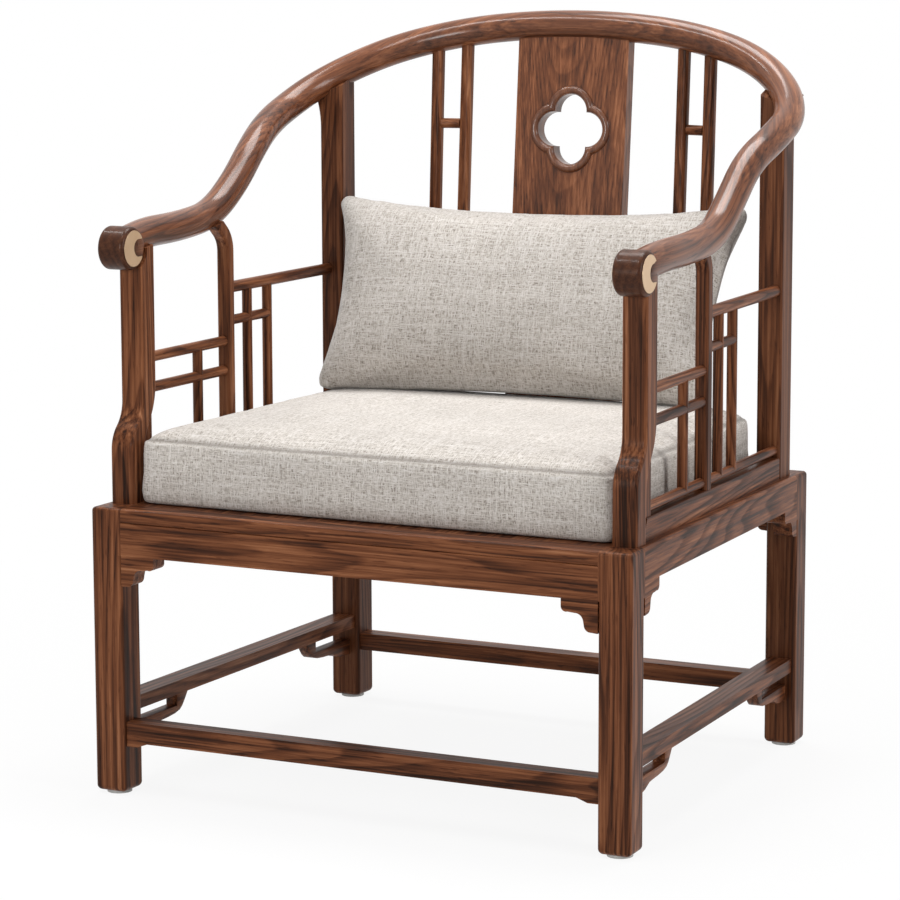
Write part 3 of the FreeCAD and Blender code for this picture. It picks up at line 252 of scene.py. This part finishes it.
def walnut_nodes(tree, coordinates, seed, figure=1.0, shade=1.0, lines=0.24, contrast=1.0,
                 coat=0.08, arches=0.0, dark=None):
    """Wood colour and surface, from coordinates whose third one is the grain."""

    def grain(scale, shift, detail=2.0, rough=0.55, distort=0.0, zoom=1.0):
        place = stretched(tree, coordinates, scale[0] * zoom, scale[1] * zoom, shift)
        noise = add(tree, "TexNoise", {"Scale": 1.0, "Detail": detail, "Roughness": rough,
                                       "Distortion": distort}, {"Vector": place})
        return noise.outputs["Fac"]

    hills = grain(hill_scale, (0, seed, 3.0), 1.0, 0.4, 0.2, figure)
    sway = grain(sway_scale, (seed, 0, 0))
    broad = grain(broad_scale, (seed * 2, 5.0, 0), 2.0, 0.5, 0.4)
    fine = grain(fine_scale, (seed, 9.0, 1.0), 3.0, 0.55, 0.15)
    fibre = grain(fibre_scale, (0, 0, seed), 3.0, 0.65)
    pore = grain(pore_scale, (seed, 1.0, 0), 1.0, 0.5)

    height_lines = plus(tree, times(tree, hills, ring_count), times(tree, sway, ring_sway))
    if arches:
        across, _, along = parts(tree, coordinates)
        bow = times(tree, times(tree, across, across), arch_bow)
        height_lines = plus(tree, times(tree, height_lines, arch_calm),
                            times(tree, plus(tree, along, bow), arches))
    ring = maths(tree, "FRACT", height_lines)
    late = times(tree, smooth_step(tree, ring, 0.30, 0.86),
                 minus(tree, 1.0, smooth_step(tree, ring, 0.88, 1.0)))
    pores = smooth_step(tree, pore, 0.62, 0.72)

    tone = plus(tree, centred(tree, broad, broad_push), centred(tree, fine, fine_push))
    tone = plus(tree, tone, centred(tree, fibre, fibre_push))
    tone = times(tree, tone, contrast)
    tone = minus(tree, tone, times(tree, late, lines))
    tone = minus(tree, tone, times(tree, pores, pore_push))
    tone = plus(tree, tone, middle_tone)
    shades = [tuple(c * shade for c in colour) for colour in walnut_shades]
    colour = ramp(tree, tone, tuple(zip(walnut_stops, shades)))
    # The rolls' darker stain, and painted shade on the back legs and posts, blend in here.
    if dark is not None:
        colour = blend(tree, dark, colour, walnut_dark)

    gloss = plus(tree, times(tree, fibre, 0.16), times(tree, late, 0.06))
    gloss = plus(tree, gloss, base_gloss)
    relief = minus(tree, fibre, times(tree, pores, 0.8))
    bump = add(tree, "Bump", {"Strength": 0.12, "Distance": 0.0004}, {"Height": relief})
    shader = add(tree, "BsdfPrincipled",
                 {"Specular IOR Level": 0.12, "Specular Tint": (1.0, 0.75, 0.6, 1),
                  "Coat Weight": coat, "Coat Roughness": 0.17},
                 {"Base Color": colour, "Roughness": gloss, "Normal": bump.outputs[0]})
    if dark is not None:
        weight = times(tree, minus(tree, 1.0, dark), coat)
        tree.links.new(weight, shader.inputs["Coat Weight"])
    cover(tree, shader)


def walnut(name, along, seed, painted_shade_behind=0.0, **wishes):
    material, tree = new_material(name)
    # Painted shade: the back legs and posts darken towards the back and the sides.
    if painted_shade_behind:
        x, y, _ = parts(tree, spot_on(tree))
        outer = smooth_step(tree, maths(tree, "ABSOLUTE", x), *painted_shade_out)
        wishes["dark"] = times(tree, outer, smooth_step(tree, y, *painted_shade_back, painted_shade_behind))
    walnut_nodes(tree, grain_coordinates(tree, along), seed, **wishes)
    return material


wood = {
    # The uprights carry the painted shade of the back legs and posts.
    "walnut_upright": walnut("walnut_upright", "z", 1.7, painted_shade_behind=0.35),
    "walnut_side": walnut("walnut_side", "y", 4.1),
    "walnut_across": walnut("walnut_across", "x", 7.3),
    "walnut_splat": walnut("walnut_splat", "z", 2.9, figure=0.8, shade=1.3, lines=0.13,
                           contrast=0.85, coat=0.4, arches=24.0),
    "walnut_plain": walnut("walnut_plain", "y", 9.6, figure=1.2, shade=0.8),
}
print("walnut", sorted(wood))

# %% [markdown]
# ## Walnut that follows the horseshoe
# The round top rail is cut from several curved lengths, and the grain seems to
# flow along all of them. Straight coordinates would cut across the bend, so the
# rail gets its own: distance along a horseshoe, distance from it in plan, and
# height above its climbing middle line, which a curve node keeps. The rolls at
# its two ends are stained darker.

# %% Walnut along the rail
bend_middle = -0.028
bend_radius = 0.334
roll_stain = 0.72
roll_start, roll_full = 0.255, 0.275
# How far back each point of the rail's middle line lies, and how high.
climb = ((-0.28, 0.655), (-0.092, 0.673), (0.024, 0.733), (0.083, 0.766),
         (0.141, 0.7915), (0.217, 0.8297), (0.285, 0.8775), (0.3065, 0.903))


def rail_coordinates(tree):
    x, y, z = parts(tree, spot_on(tree))
    beyond = minus(tree, y, bend_middle)
    behind = maths(tree, "MAXIMUM", beyond, 0.0)
    ahead = maths(tree, "MINIMUM", beyond, 0.0)
    side = maths(tree, "ABSOLUTE", x)
    radius = maths(tree, "SQRT", plus(tree, times(tree, x, x), times(tree, behind, behind)))
    angle = maths(tree, "ARCTAN2", behind, side)
    length = plus(tree, ahead, times(tree, angle, bend_radius))
    (front, low), (rear, high) = climb[0], climb[-1]
    share = maths(tree, "DIVIDE", minus(tree, y, front), rear - front)
    curve = add(tree, "FloatCurve", feeds={"Value": share})
    points = curve.mapping.curves[0].points
    for where, height in climb[1:-1]:
        points.new((where - front) / (rear - front), (height - low) / (high - low))
    curve.mapping.update()
    middle = maths(tree, "MULTIPLY_ADD", curve.outputs[0], high - low, low)
    above = minus(tree, z, middle)
    out = add(tree, "CombineXYZ", feeds={"X": radius, "Y": above, "Z": length})
    forward = smooth_step(tree, times(tree, y, -1.0), roll_start, roll_full)
    return out.outputs[0], times(tree, forward, roll_stain)


rail_wood, rail_tree = new_material("walnut_rail")
along_rail, roll_end = rail_coordinates(rail_tree)
walnut_nodes(rail_tree, along_rail, 5.2, shade=1.05, lines=0.16, contrast=0.7, coat=0.55,
             dark=roll_end)
wood["walnut_rail"] = rail_wood
print("rail wood ready")

# %% [markdown]
# ## Brass and the glides
# The crescents in the arm ends are pale, softly brushed brass: hardly any
# mirror, a broad sheen. The glides are light grey plastic discs. Then each
# piece gets the finish that its slot names. The moulding round the splat's
# window gets a walnut of its own, calmer and glossier than the board.

# %% Brass and glide materials
brass_low, brass_high = (0.60, 0.41, 0.25), (0.71, 0.53, 0.36)
glide_low, glide_high = (0.50, 0.50, 0.49), (0.66, 0.66, 0.64)


def brass_material():
    material, tree = new_material("pale_brass")
    place = spot_on(tree)
    brushed = add(tree, "TexNoise", {"Scale": 1.0, "Detail": 3.0},
                  {"Vector": stretched(tree, place, 1400.0, 90.0, (0, 0, 0))})
    cloudy = add(tree, "TexNoise", {"Scale": 60.0, "Detail": 2.0}, {"Vector": place})
    tone = blend(tree, cloudy.outputs["Fac"], brass_low, brass_high)
    gloss = maths(tree, "MULTIPLY_ADD", brushed.outputs["Fac"], 0.15, 0.36)
    bump = add(tree, "Bump", {"Strength": 0.08, "Distance": 0.0002},
               {"Height": brushed.outputs["Fac"]})
    shader = add(tree, "BsdfPrincipled", {"Metallic": 0.85},
                 {"Base Color": tone, "Roughness": gloss, "Normal": bump.outputs[0]})
    cover(tree, shader)
    return material


def glide_material():
    material, tree = new_material("glide_plastic")
    grit = add(tree, "TexNoise", {"Scale": 900.0, "Detail": 2.0}, {"Vector": spot_on(tree)})
    tone = blend(tree, grit.outputs["Fac"], glide_low, glide_high)
    bump = add(tree, "Bump", {"Strength": 0.1, "Distance": 0.0003},
               {"Height": grit.outputs["Fac"]})
    shader = add(tree, "BsdfPrincipled", {"Roughness": 0.55},
                 {"Base Color": tone, "Normal": bump.outputs[0]})
    cover(tree, shader)
    return material


finishes = dict(wood)
finishes["brass"] = brass_material()
finishes["glide"] = glide_material()
slots = {entry["node"]: entry["material_slot"] for entry in frame["record"]["subparts"]}
for name, piece in nodes.items():
    finish = finishes.get(slots[name])
    if finish:
        piece.data.materials.clear()
        piece.data.materials.append(finish)
nodes["window_moulding"].data.materials[0] = walnut(
    "walnut_moulding", "z", 3.3, shade=0.95, lines=0.06, contrast=0.5, coat=0.8)
print("finished", sum(1 for name in nodes if slots[name] in finishes), "nodes")

# %% [markdown]
# ## The scroll brackets
# An open scroll hangs under each end of the side stretchers: a limb comes down
# from a small flare, turns, and runs back to the leg as a thin lip with a foot.
# It is sawn from one board, so it is the same all through its thickness. The
# easiest way to such a shape is a strip of squares, bent to the sawn outline
# and then pulled out to the board's thickness. The outline is written as
# shares of the scroll's length, counted from the leg, and of its drop.

# %% Scroll brackets
scroll_long_front = 0.128
scroll_long_rear = 0.117
scroll_drop = 0.038
scroll_thick = 0.016
eased_edge = 0.0008
window_end, window_depth = 0.765, 0.44
scroll_outside = ((1.0, 0.0), (0.965, 0.05), (0.945, 0.15), (0.905, 0.33), (0.862, 0.50),
                  (0.815, 0.61), (0.73, 0.68), (0.60, 0.72), (0.46, 0.74), (0.386, 0.76),
                  (0.33, 0.83), (0.277, 0.90), (0.21, 0.94), (0.0, 0.96))
scroll_inside = [(window_end, depth) for depth in (0.0, 0.05, 0.14, 0.30, window_depth)]
scroll_inside += [(share, window_depth)
                  for share in (0.75, 0.69, 0.60, 0.46, 0.386, 0.33, 0.277, 0.21, 0.0)]


def middle_line(node):
    """Where the middle of a bar runs in plan, from the tenons at its two ends."""
    points = [v.co for v in nodes[node].data.vertices]
    ends = []
    for y in (min(p.y for p in points), max(p.y for p in points)):
        across = [p.x for p in points if abs(p.y - y) < 0.001]
        ends.append(((min(across) + max(across)) / 2, y))
    return ends


def scroll(line, start, length, top):
    steps = len(scroll_outside) - 1
    bpy.ops.mesh.primitive_grid_add(x_subdivisions=steps, y_subdivisions=1, size=1.0)
    board = bpy.context.object
    (x0, y0), (x1, y1) = line
    for vertex in board.data.vertices:
        step = round((vertex.co.x + 0.5) * steps)
        share = (scroll_outside if vertex.co.y > 0 else scroll_inside)[step]
        y = start + share[0] * length
        x = x0 + (x1 - x0) * (y - y0) / (y1 - y0)
        vertex.co = (x - scroll_thick / 2, y, top - share[1] * scroll_drop)
    bpy.ops.object.mode_set(mode="EDIT")
    bpy.ops.mesh.select_all(action="SELECT")
    bpy.ops.mesh.extrude_region_move(
        TRANSFORM_OT_translate={"value": (scroll_thick, 0, 0)})
    bpy.ops.mesh.select_all(action="SELECT")
    bpy.ops.mesh.normals_make_consistent(inside=False)
    bpy.ops.object.mode_set(mode="OBJECT")
    edge = board.modifiers.new("eased", "BEVEL")
    edge.width = eased_edge
    edge.segments = 2
    edge.limit_method = "ANGLE"
    edge.angle_limit = math.radians(50)
    bpy.ops.object.modifier_apply(modifier="eased")
    bpy.ops.object.shade_smooth_by_angle(angle=math.radians(30))
    return board


for side in ("left", "right"):
    plain = "scroll_brackets_" + side
    low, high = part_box(plain)
    line = middle_line("side_stretcher_" + side)
    pair = [scroll(line, low.y, scroll_long_front, high.z),
            scroll(line, high.y, -scroll_long_rear, high.z)]
    bpy.ops.object.select_all(action="DESELECT")
    for board in pair:
        board.select_set(True)
    bpy.context.view_layer.objects.active = pair[0]
    bpy.ops.object.join()
    scrolls = bpy.context.object
    scrolls.name = "open_scrolls_" + side
    scrolls.data.name = scrolls.name
    bpy.ops.object.transform_apply(location=True, rotation=True, scale=True)
    scrolls.data.materials.append(wood[slots[plain]])
    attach(scrolls, "frame")
    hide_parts(plain)
    print(scrolls.name, len(scrolls.data.polygons), "faces, on", plain)

# %% [markdown]
# ## Linen
# The cloth is a plain weave of uneven yarn: pale warp and weft with thicker
# slubs, and darker flecks between them. Two sets of thin stretched noise, one
# each way, stand for the two yarns. They read the cushion's own UV map, which
# is laid flat in metres on every side, so that the weave keeps its real size.

# %% Linen material
linen_light = (0.70, 0.666, 0.634)
linen_mid = (0.56, 0.515, 0.465)
linen_dark = (0.23, 0.198, 0.168)
# The colour of the painted shade along the seams.
painted_seam_shade = (0.16, 0.14, 0.12)
# How often each yarn comes back in a metre, across itself and along itself.
thread = (780.0, 130.0)
slub = (330.0, 15.0)
fleck_scale = 650.0
cloud_scale = 7.0


def yarns(tree, place, across, along, shift):
    mapping = add(tree, "Mapping", {"Scale": (across, along, 1), "Location": shift},
                  {"Vector": place})
    noise = add(tree, "TexNoise", {"Scale": 1.0, "Detail": 2.5, "Roughness": 0.6},
                {"Vector": mapping.outputs[0]})
    return noise.outputs["Fac"]


def linen(name, seed, tone=1.0):
    material, tree = new_material(name)
    place = add(tree, "UVMap", uv_map="cloth").outputs["UV"]
    warp = yarns(tree, place, thread[0], thread[1], (seed, 0, 0))
    weft = yarns(tree, place, thread[1], thread[0], (0, seed, 0))
    slub_up = yarns(tree, place, slub[0], slub[1], (seed, 3.0, 0))
    slub_over = yarns(tree, place, slub[1], slub[0], (3.0, seed, 0))
    fleck = yarns(tree, place, fleck_scale, fleck_scale, (seed, seed, 0))
    cloudy = yarns(tree, place, cloud_scale, cloud_scale, (0, seed, 0))
    weave = maths(tree, "MAXIMUM", warp, weft)
    slubs = maths(tree, "MAXIMUM", slub_up, slub_over)
    mixed = plus(tree, times(tree, weave, 0.68), times(tree, slubs, 0.32))
    body = ramp(tree, mixed, ((0.43, linen_dark), (0.53, linen_mid), (0.62, linen_light)))
    flecks = add(tree, "MapRange", {"From Min": 0.58, "From Max": 0.70, "To Max": 0.55},
                 {"Value": fleck})
    flecked = blend(tree, flecks.outputs[0], body, linen_dark)
    # The tone scales the whole cloth; a tone below 1 is painted shade.
    shade = add(tree, "MapRange", {"From Min": 0.3, "From Max": 0.7, "To Min": 0.93 * tone,
                                   "To Max": 1.05 * tone}, {"Value": cloudy})
    toned = blend(tree, 1.0, flecked, shade.outputs[0], "MULTIPLY")
    # Painted shade: the cloth darkens along the seams, in the pressed groove.
    painted_seam_mask = add(tree, "Attribute", attribute_name="seam").outputs["Fac"]
    with_painted_seams = blend(tree, times(tree, painted_seam_mask, 0.7), toned, painted_seam_shade)
    height = plus(tree, weave, times(tree, slubs, 0.5))
    bump = add(tree, "Bump", {"Strength": 0.55, "Distance": 0.0011}, {"Height": height})
    shader = add(tree, "BsdfPrincipled",
                 {"Roughness": 0.92, "Sheen Weight": 0.25, "Sheen Roughness": 0.5,
                  "Specular IOR Level": 0.25},
                 {"Base Color": with_painted_seams, "Normal": bump.outputs[0]})
    cover(tree, shader)
    return material


linen_seat = linen("linen_seat", 0.7)
# The pillow is the same linen, painted darker as shade with a tone of 0.83.
linen_pillow = linen("linen_pillow", 2.3, 0.83)
print("linen ready")

# %% [markdown]
# ## Filling the cushions
# A cushion is a sewn shell with foam or down pushing it out, so the honest way
# to its shape is to do the same. A copy of the plain solid is drawn in a
# little, remeshed into even squares, and blown up with the Cloth simulation
# with its gravity off. A cap on how far a point may travel keeps it in the
# space between the posts. The result is applied, so the finished piece is an
# ordinary mesh. Filling also draws the outline in, so at the end it is let out
# to the size that the cushion is sewn to.

# %% Cushion helpers
square_size = 0.005
filling_frames = 20
base_fade = 0.03
strip_count = 30


def only(piece):
    bpy.ops.object.select_all(action="DESELECT")
    piece.select_set(True)
    bpy.context.view_layer.objects.active = piece


def shell_of(node, name, draw_in):
    """A merged copy of a node's mesh, drawn in along its normals."""
    copy = nodes[node].copy()
    copy.data = nodes[node].data.copy()
    copy.name = name
    copy.data.name = name
    copy.parent = None
    copy.matrix_world = nodes[node].matrix_world
    copy.modifiers.clear()
    bpy.context.scene.collection.objects.link(copy)
    only(copy)
    bpy.ops.object.transform_apply(location=True, rotation=True, scale=True)
    bpy.ops.object.mode_set(mode="EDIT")
    bpy.ops.mesh.select_all(action="SELECT")
    bpy.ops.mesh.remove_doubles(threshold=0.0001)
    bpy.ops.mesh.normals_make_consistent(inside=False)
    bpy.ops.transform.shrink_fatten(value=-draw_in)
    bpy.ops.object.mode_set(mode="OBJECT")
    return copy


def remeshed(piece):
    only(piece)
    modifier = piece.modifiers.new("even", "REMESH")
    modifier.mode = "VOXEL"
    modifier.voxel_size = square_size
    bpy.ops.object.modifier_apply(modifier="even")
    return piece


def inflated(piece, pressure, cap, held_height=None):
    """Blow the shell up with cloth pressure. Points move up to the cap, a held base stays flat."""
    rest = [v.co.copy() for v in piece.data.vertices]
    only(piece)
    cloth = piece.modifiers.new("filling", "CLOTH")
    cloth.settings.use_pressure = True
    cloth.settings.uniform_pressure_force = pressure
    cloth.settings.effector_weights.gravity = 0
    cloth.settings.quality = 5
    cloth.settings.tension_stiffness = 12
    cloth.settings.compression_stiffness = 12
    cloth.settings.bending_stiffness = 0.6
    for number in range(1, filling_frames + 1):
        bpy.context.scene.frame_set(number)
    bpy.ops.object.modifier_apply(modifier="filling")
    bpy.context.scene.frame_set(1)
    for vertex, start in zip(piece.data.vertices, rest):
        step = vertex.co - start
        give = min(1.0, cap / step.length) if step.length else 0.0
        if held_height is not None:
            give *= min(1.0, max(0.0, (start.z - held_height) / base_fade))
        vertex.co = start + step * give
    return piece


def subdivided(piece):
    only(piece)
    modifier = piece.modifiers.new("finer", "SUBSURF")
    modifier.levels = 1
    modifier.render_levels = 1
    bpy.ops.object.modifier_apply(modifier="finer")
    bpy.ops.object.shade_smooth()
    return piece


def filled_out(piece, node, turn):
    """Let the outline out again to its sewn size, in the cushion's own directions."""
    upright = turn.transposed()
    points = [upright @ v.co for v in piece.data.vertices]
    sewn = [upright @ v.co for v in nodes[node].data.vertices]
    for axis in range(3):
        low, high = min(p[axis] for p in points), max(p[axis] for p in points)
        to_low, to_high = min(p[axis] for p in sewn), max(p[axis] for p in sewn)
        scale = (to_high - to_low) / (high - low)
        for point in points:
            point[axis] = to_low + (point[axis] - low) * scale
    for vertex, point in zip(piece.data.vertices, points):
        vertex.co = turn @ point
    return piece


def column_ends(points):
    """Lowest and highest point of each upright strip, from one end to the other."""
    first, last = min(p.x for p in points), max(p.x for p in points)
    ends = [[1.0, -1.0] for strip in range(strip_count)]
    for point in points:
        number = int((point.x - first) / (last - first) * strip_count)
        strip = ends[min(strip_count - 1, number)]
        strip[0], strip[1] = min(strip[0], point.z), max(strip[1], point.z)
    return ends


def between(ends, strip, part):
    """Low and high end at a place between the middles of two strips."""
    return [ends[strip][e] * (1 - part) + ends[strip + 1][e] * part for e in (0, 1)]


def let_out_edges(piece, turn, sewn, top_share):
    """Filling draws the long edges in between the corners: they go back to the sewn ones."""
    points = [turn.transposed() @ v.co for v in piece.data.vertices]
    filled = column_ends(points)
    first, last = min(p.x for p in points), max(p.x for p in points)
    last_spot = strip_count - 2.01
    for vertex, point in zip(piece.data.vertices, points):
        spot = (point.x - first) / (last - first) * strip_count - 0.5
        spot = min(last_spot, max(1.0, spot))
        strip, part = int(spot), spot - int(spot)
        low, high = between(filled, strip, part)
        to_low, to_high = between(sewn, strip, part)
        to_high = high + (to_high - high) * top_share
        point.z = to_low + (point.z - low) * (to_high - to_low) / (high - low)
        vertex.co = turn @ point
    return piece


def lay_cloth(piece, turn):
    """UV map in metres: each face is laid flat along its nearest side."""
    layer = piece.data.uv_layers.new(name="cloth")
    upright = turn.transposed()
    points = [upright @ v.co for v in piece.data.vertices]
    for face in piece.data.polygons:
        normal = upright @ face.normal
        sizes = [abs(c) for c in normal]
        facing = sizes.index(max(sizes))
        pair = {0: (1, 2), 1: (0, 2), 2: (0, 1)}[facing]
        for loop in face.loop_indices:
            point = points[piece.data.loops[loop].vertex_index]
            layer.data[loop].uv = (point[pair[0]], point[pair[1]])


def mark_seam(piece, nearness, depth):
    """Press a sewn line into the cloth; how near each point is to it is kept for painted shade."""
    normals = [v.normal.copy() for v in piece.data.vertices]
    values = [nearness(v.co) for v in piece.data.vertices]
    for vertex, normal, near in zip(piece.data.vertices, normals, values):
        vertex.co -= normal * (depth * near)
    attribute = piece.data.attributes.new("seam", "FLOAT", "POINT")
    attribute.data.foreach_set("value", values)


print("cushion helpers ready")

# %% [markdown]
# ## The seat cushion
# It is boxed: a top panel sewn to an upright border a little below the top
# edge, so the edge is soft and round and the seam shows as a thin dark line:
# a pressed groove with painted shade along it.
# It rests flat on the seat, so its base is held while the rest fills.
# The seam is pressed into the mesh after the filling, because the remesh would
# wipe it out.

# %% Seat cushion
seat_draw_in = 0.0015
seat_pressure, seat_cap = 4.0, 0.004
held_base = 0.006
seam_height = 0.4275
seam_reach = 0.0024
seam_depth = 0.0016
half_width, half_depth = 0.25, 0.2
border_share = 0.9

seat_low, seat_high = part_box("seat_cushion")
seat_middle = (seat_low + seat_high) / 2
seat = remeshed(shell_of("seat_cushion", "seat_cushion_linen", seat_draw_in))
seat = inflated(seat, seat_pressure, seat_cap, held_height=seat_low.z + held_base)
seat = filled_out(subdivided(seat), "seat_cushion", Matrix.Identity(3))


def near_seat_seam(point):
    off = (point.z - seam_height) / seam_reach
    side = abs(point.x - seat_middle.x) / half_width
    edge = max(side, abs(point.y - seat_middle.y) / half_depth)
    return math.exp(-off * off) if edge > border_share else 0.0


mark_seam(seat, near_seat_seam, seam_depth)
lay_cloth(seat, Matrix.Identity(3))
seat.data.materials.clear()
seat.data.materials.append(linen_seat)
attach(seat, "seat_cushion_body")
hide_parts("seat_cushion")
print("seat cushion", len(seat.data.polygons), "faces")

# %% [markdown]
# ## The pillow
# Two panels sewn edge to edge, fuller in the middle and pulled in between the
# corners, which stay as small ears. It is filled the same way as the seat, and
# softer. It leans back on the posts and is turned a little, so it is measured
# in its own directions.

# %% Pillow
pillow_draw_in = 0.002
pillow_pressure, pillow_cap = 3.0, 0.008
pillow_swing, pillow_lean = math.radians(4.5), math.radians(-27.0)
pillow_seam_reach, pillow_seam_depth = 0.0026, 0.0012
top_let_out = 0.75

pillow_turn = Matrix.Rotation(pillow_swing, 3, "Z") @ Matrix.Rotation(pillow_lean, 3, "X")
pillow = remeshed(shell_of("back_pillow", "back_pillow_linen", pillow_draw_in))
sewn_ends = column_ends([pillow_turn.transposed() @ v.co for v in pillow.data.vertices])
pillow = subdivided(inflated(pillow, pillow_pressure, pillow_cap))
pillow = let_out_edges(pillow, pillow_turn, sewn_ends, top_let_out)
pillow = filled_out(pillow, "back_pillow", pillow_turn)
pillow_depths = [(pillow_turn.transposed() @ v.co).y for v in pillow.data.vertices]
pillow_plane = (min(pillow_depths) + max(pillow_depths)) / 2


def near_pillow_edge(point):
    off = ((pillow_turn.transposed() @ point).y - pillow_plane) / pillow_seam_reach
    return math.exp(-off * off)


lay_cloth(pillow, pillow_turn)
# The pillow's edge seam is pressed in and gets painted shade too.
mark_seam(pillow, near_pillow_edge, pillow_seam_depth)
pillow.data.materials.clear()
pillow.data.materials.append(linen_pillow)
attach(pillow, "back_pillow_body")
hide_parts("back_pillow")
print("pillow", len(pillow.data.polygons), "faces")

# %% [markdown]
# ## The studio
# A plain pale floor and a soft even light. The floor and the world look white
# to the camera and to reflections, but they light the chair at an ordinary
# level, so the wood keeps its own colour and a faint shadow stays under it.

# %% Floor and world
floor_grey = 0.86
# How white the floor looks under the chair, and how much it gains further out.
least_white, white_gain = 0.9, 0.1
gain_start, gain_end = 0.5, 1.5
sky_strength = 0.22


def seen_directly(tree):
    path = add(tree, "LightPath").outputs
    some = maths(tree, "MAXIMUM", path["Is Camera Ray"], path["Is Glossy Ray"])
    return maths(tree, "MAXIMUM", some, path["Is Transmission Ray"])


bpy.ops.object.select_all(action="DESELECT")
bpy.ops.mesh.primitive_plane_add(size=16.0, location=(0, 0, 0))
floor = bpy.context.object
floor.name = "studio_floor"
floor_paint, floor_tree = new_material("studio_floor")
matte = add(floor_tree, "BsdfDiffuse", {"Color": (floor_grey, floor_grey, floor_grey, 1)})
white = add(floor_tree, "Emission", {"Color": (1, 1, 1, 1), "Strength": 1.0})
distance = add(floor_tree, "VectorMath", feeds={0: spot_on(floor_tree)}, operation="LENGTH")
away = distance.outputs["Value"]
gained = smooth_step(floor_tree, away, gain_start, gain_end, white_gain)
whiteness = plus(floor_tree, gained, least_white)
part_white = times(floor_tree, seen_directly(floor_tree), whiteness)
mixed = add(floor_tree, "MixShader", feeds={"Fac": part_white})
floor_tree.links.new(matte.outputs[0], mixed.inputs[1])
floor_tree.links.new(white.outputs[0], mixed.inputs[2])
cover(floor_tree, mixed)
floor.data.materials.append(floor_paint)

world = bpy.data.worlds.new("studio_world")
bpy.context.scene.world = world
world.use_nodes = True
sky = world.node_tree
sky.nodes.clear()
even = add(sky, "Background", {"Color": (1, 1, 1, 1), "Strength": sky_strength})
bright = add(sky, "Background", {"Color": (1, 1, 1, 1), "Strength": 1.0})
chosen = add(sky, "MixShader", feeds={"Fac": seen_directly(sky)})
sky.links.new(even.outputs[0], chosen.inputs[1])
sky.links.new(bright.outputs[0], chosen.inputs[2])
add(sky, "OutputWorld", feeds={"Surface": chosen.outputs[0]})
print("stage set")

# %% [markdown]
# ## Lamps
# Photographers light pale cloth and dark wood with large soft boxes. The key
# one hangs over the back of the chair. A long thin strip beside it draws the
# bright line along the round rail, a box at the right lays a broad sheen down
# the outer faces, and one in front fills the shadows. Each line below gives a
# lamp's place, what it points at, its size in metres and its watts.

# %% Lamps


def soft_box(name, place, aim, size, watts):
    bpy.ops.object.light_add(type="AREA", location=place)
    lamp = bpy.context.object
    lamp.name = name
    lamp.data.shape = "RECTANGLE"
    lamp.data.size = size[0]
    lamp.data.size_y = size[1]
    lamp.data.energy = watts
    way = Vector(aim) - Vector(place)
    lamp.rotation_euler = way.to_track_quat("-Z", "Y").to_euler()
    return lamp


soft_box("overhead_box", (0.1, 0.5, 2.7), (0, 0, 0.5), (1.6, 1.0), 52)
soft_box("rail_strip", (-0.9, -0.7, 2.6), (0, 0.2, 0.9), (2.8, 0.12), 28)
soft_box("right_box", (3.0, -0.5, 1.6), (0, 0, 0.5), (0.8, 1.6), 36)
soft_box("front_box", (-0.4, -3.5, 1.3), (0, 0, 0.45), (0.9, 0.9), 34)
bpy.context.scene.view_settings.view_transform = "Standard"
print("lamps lit")
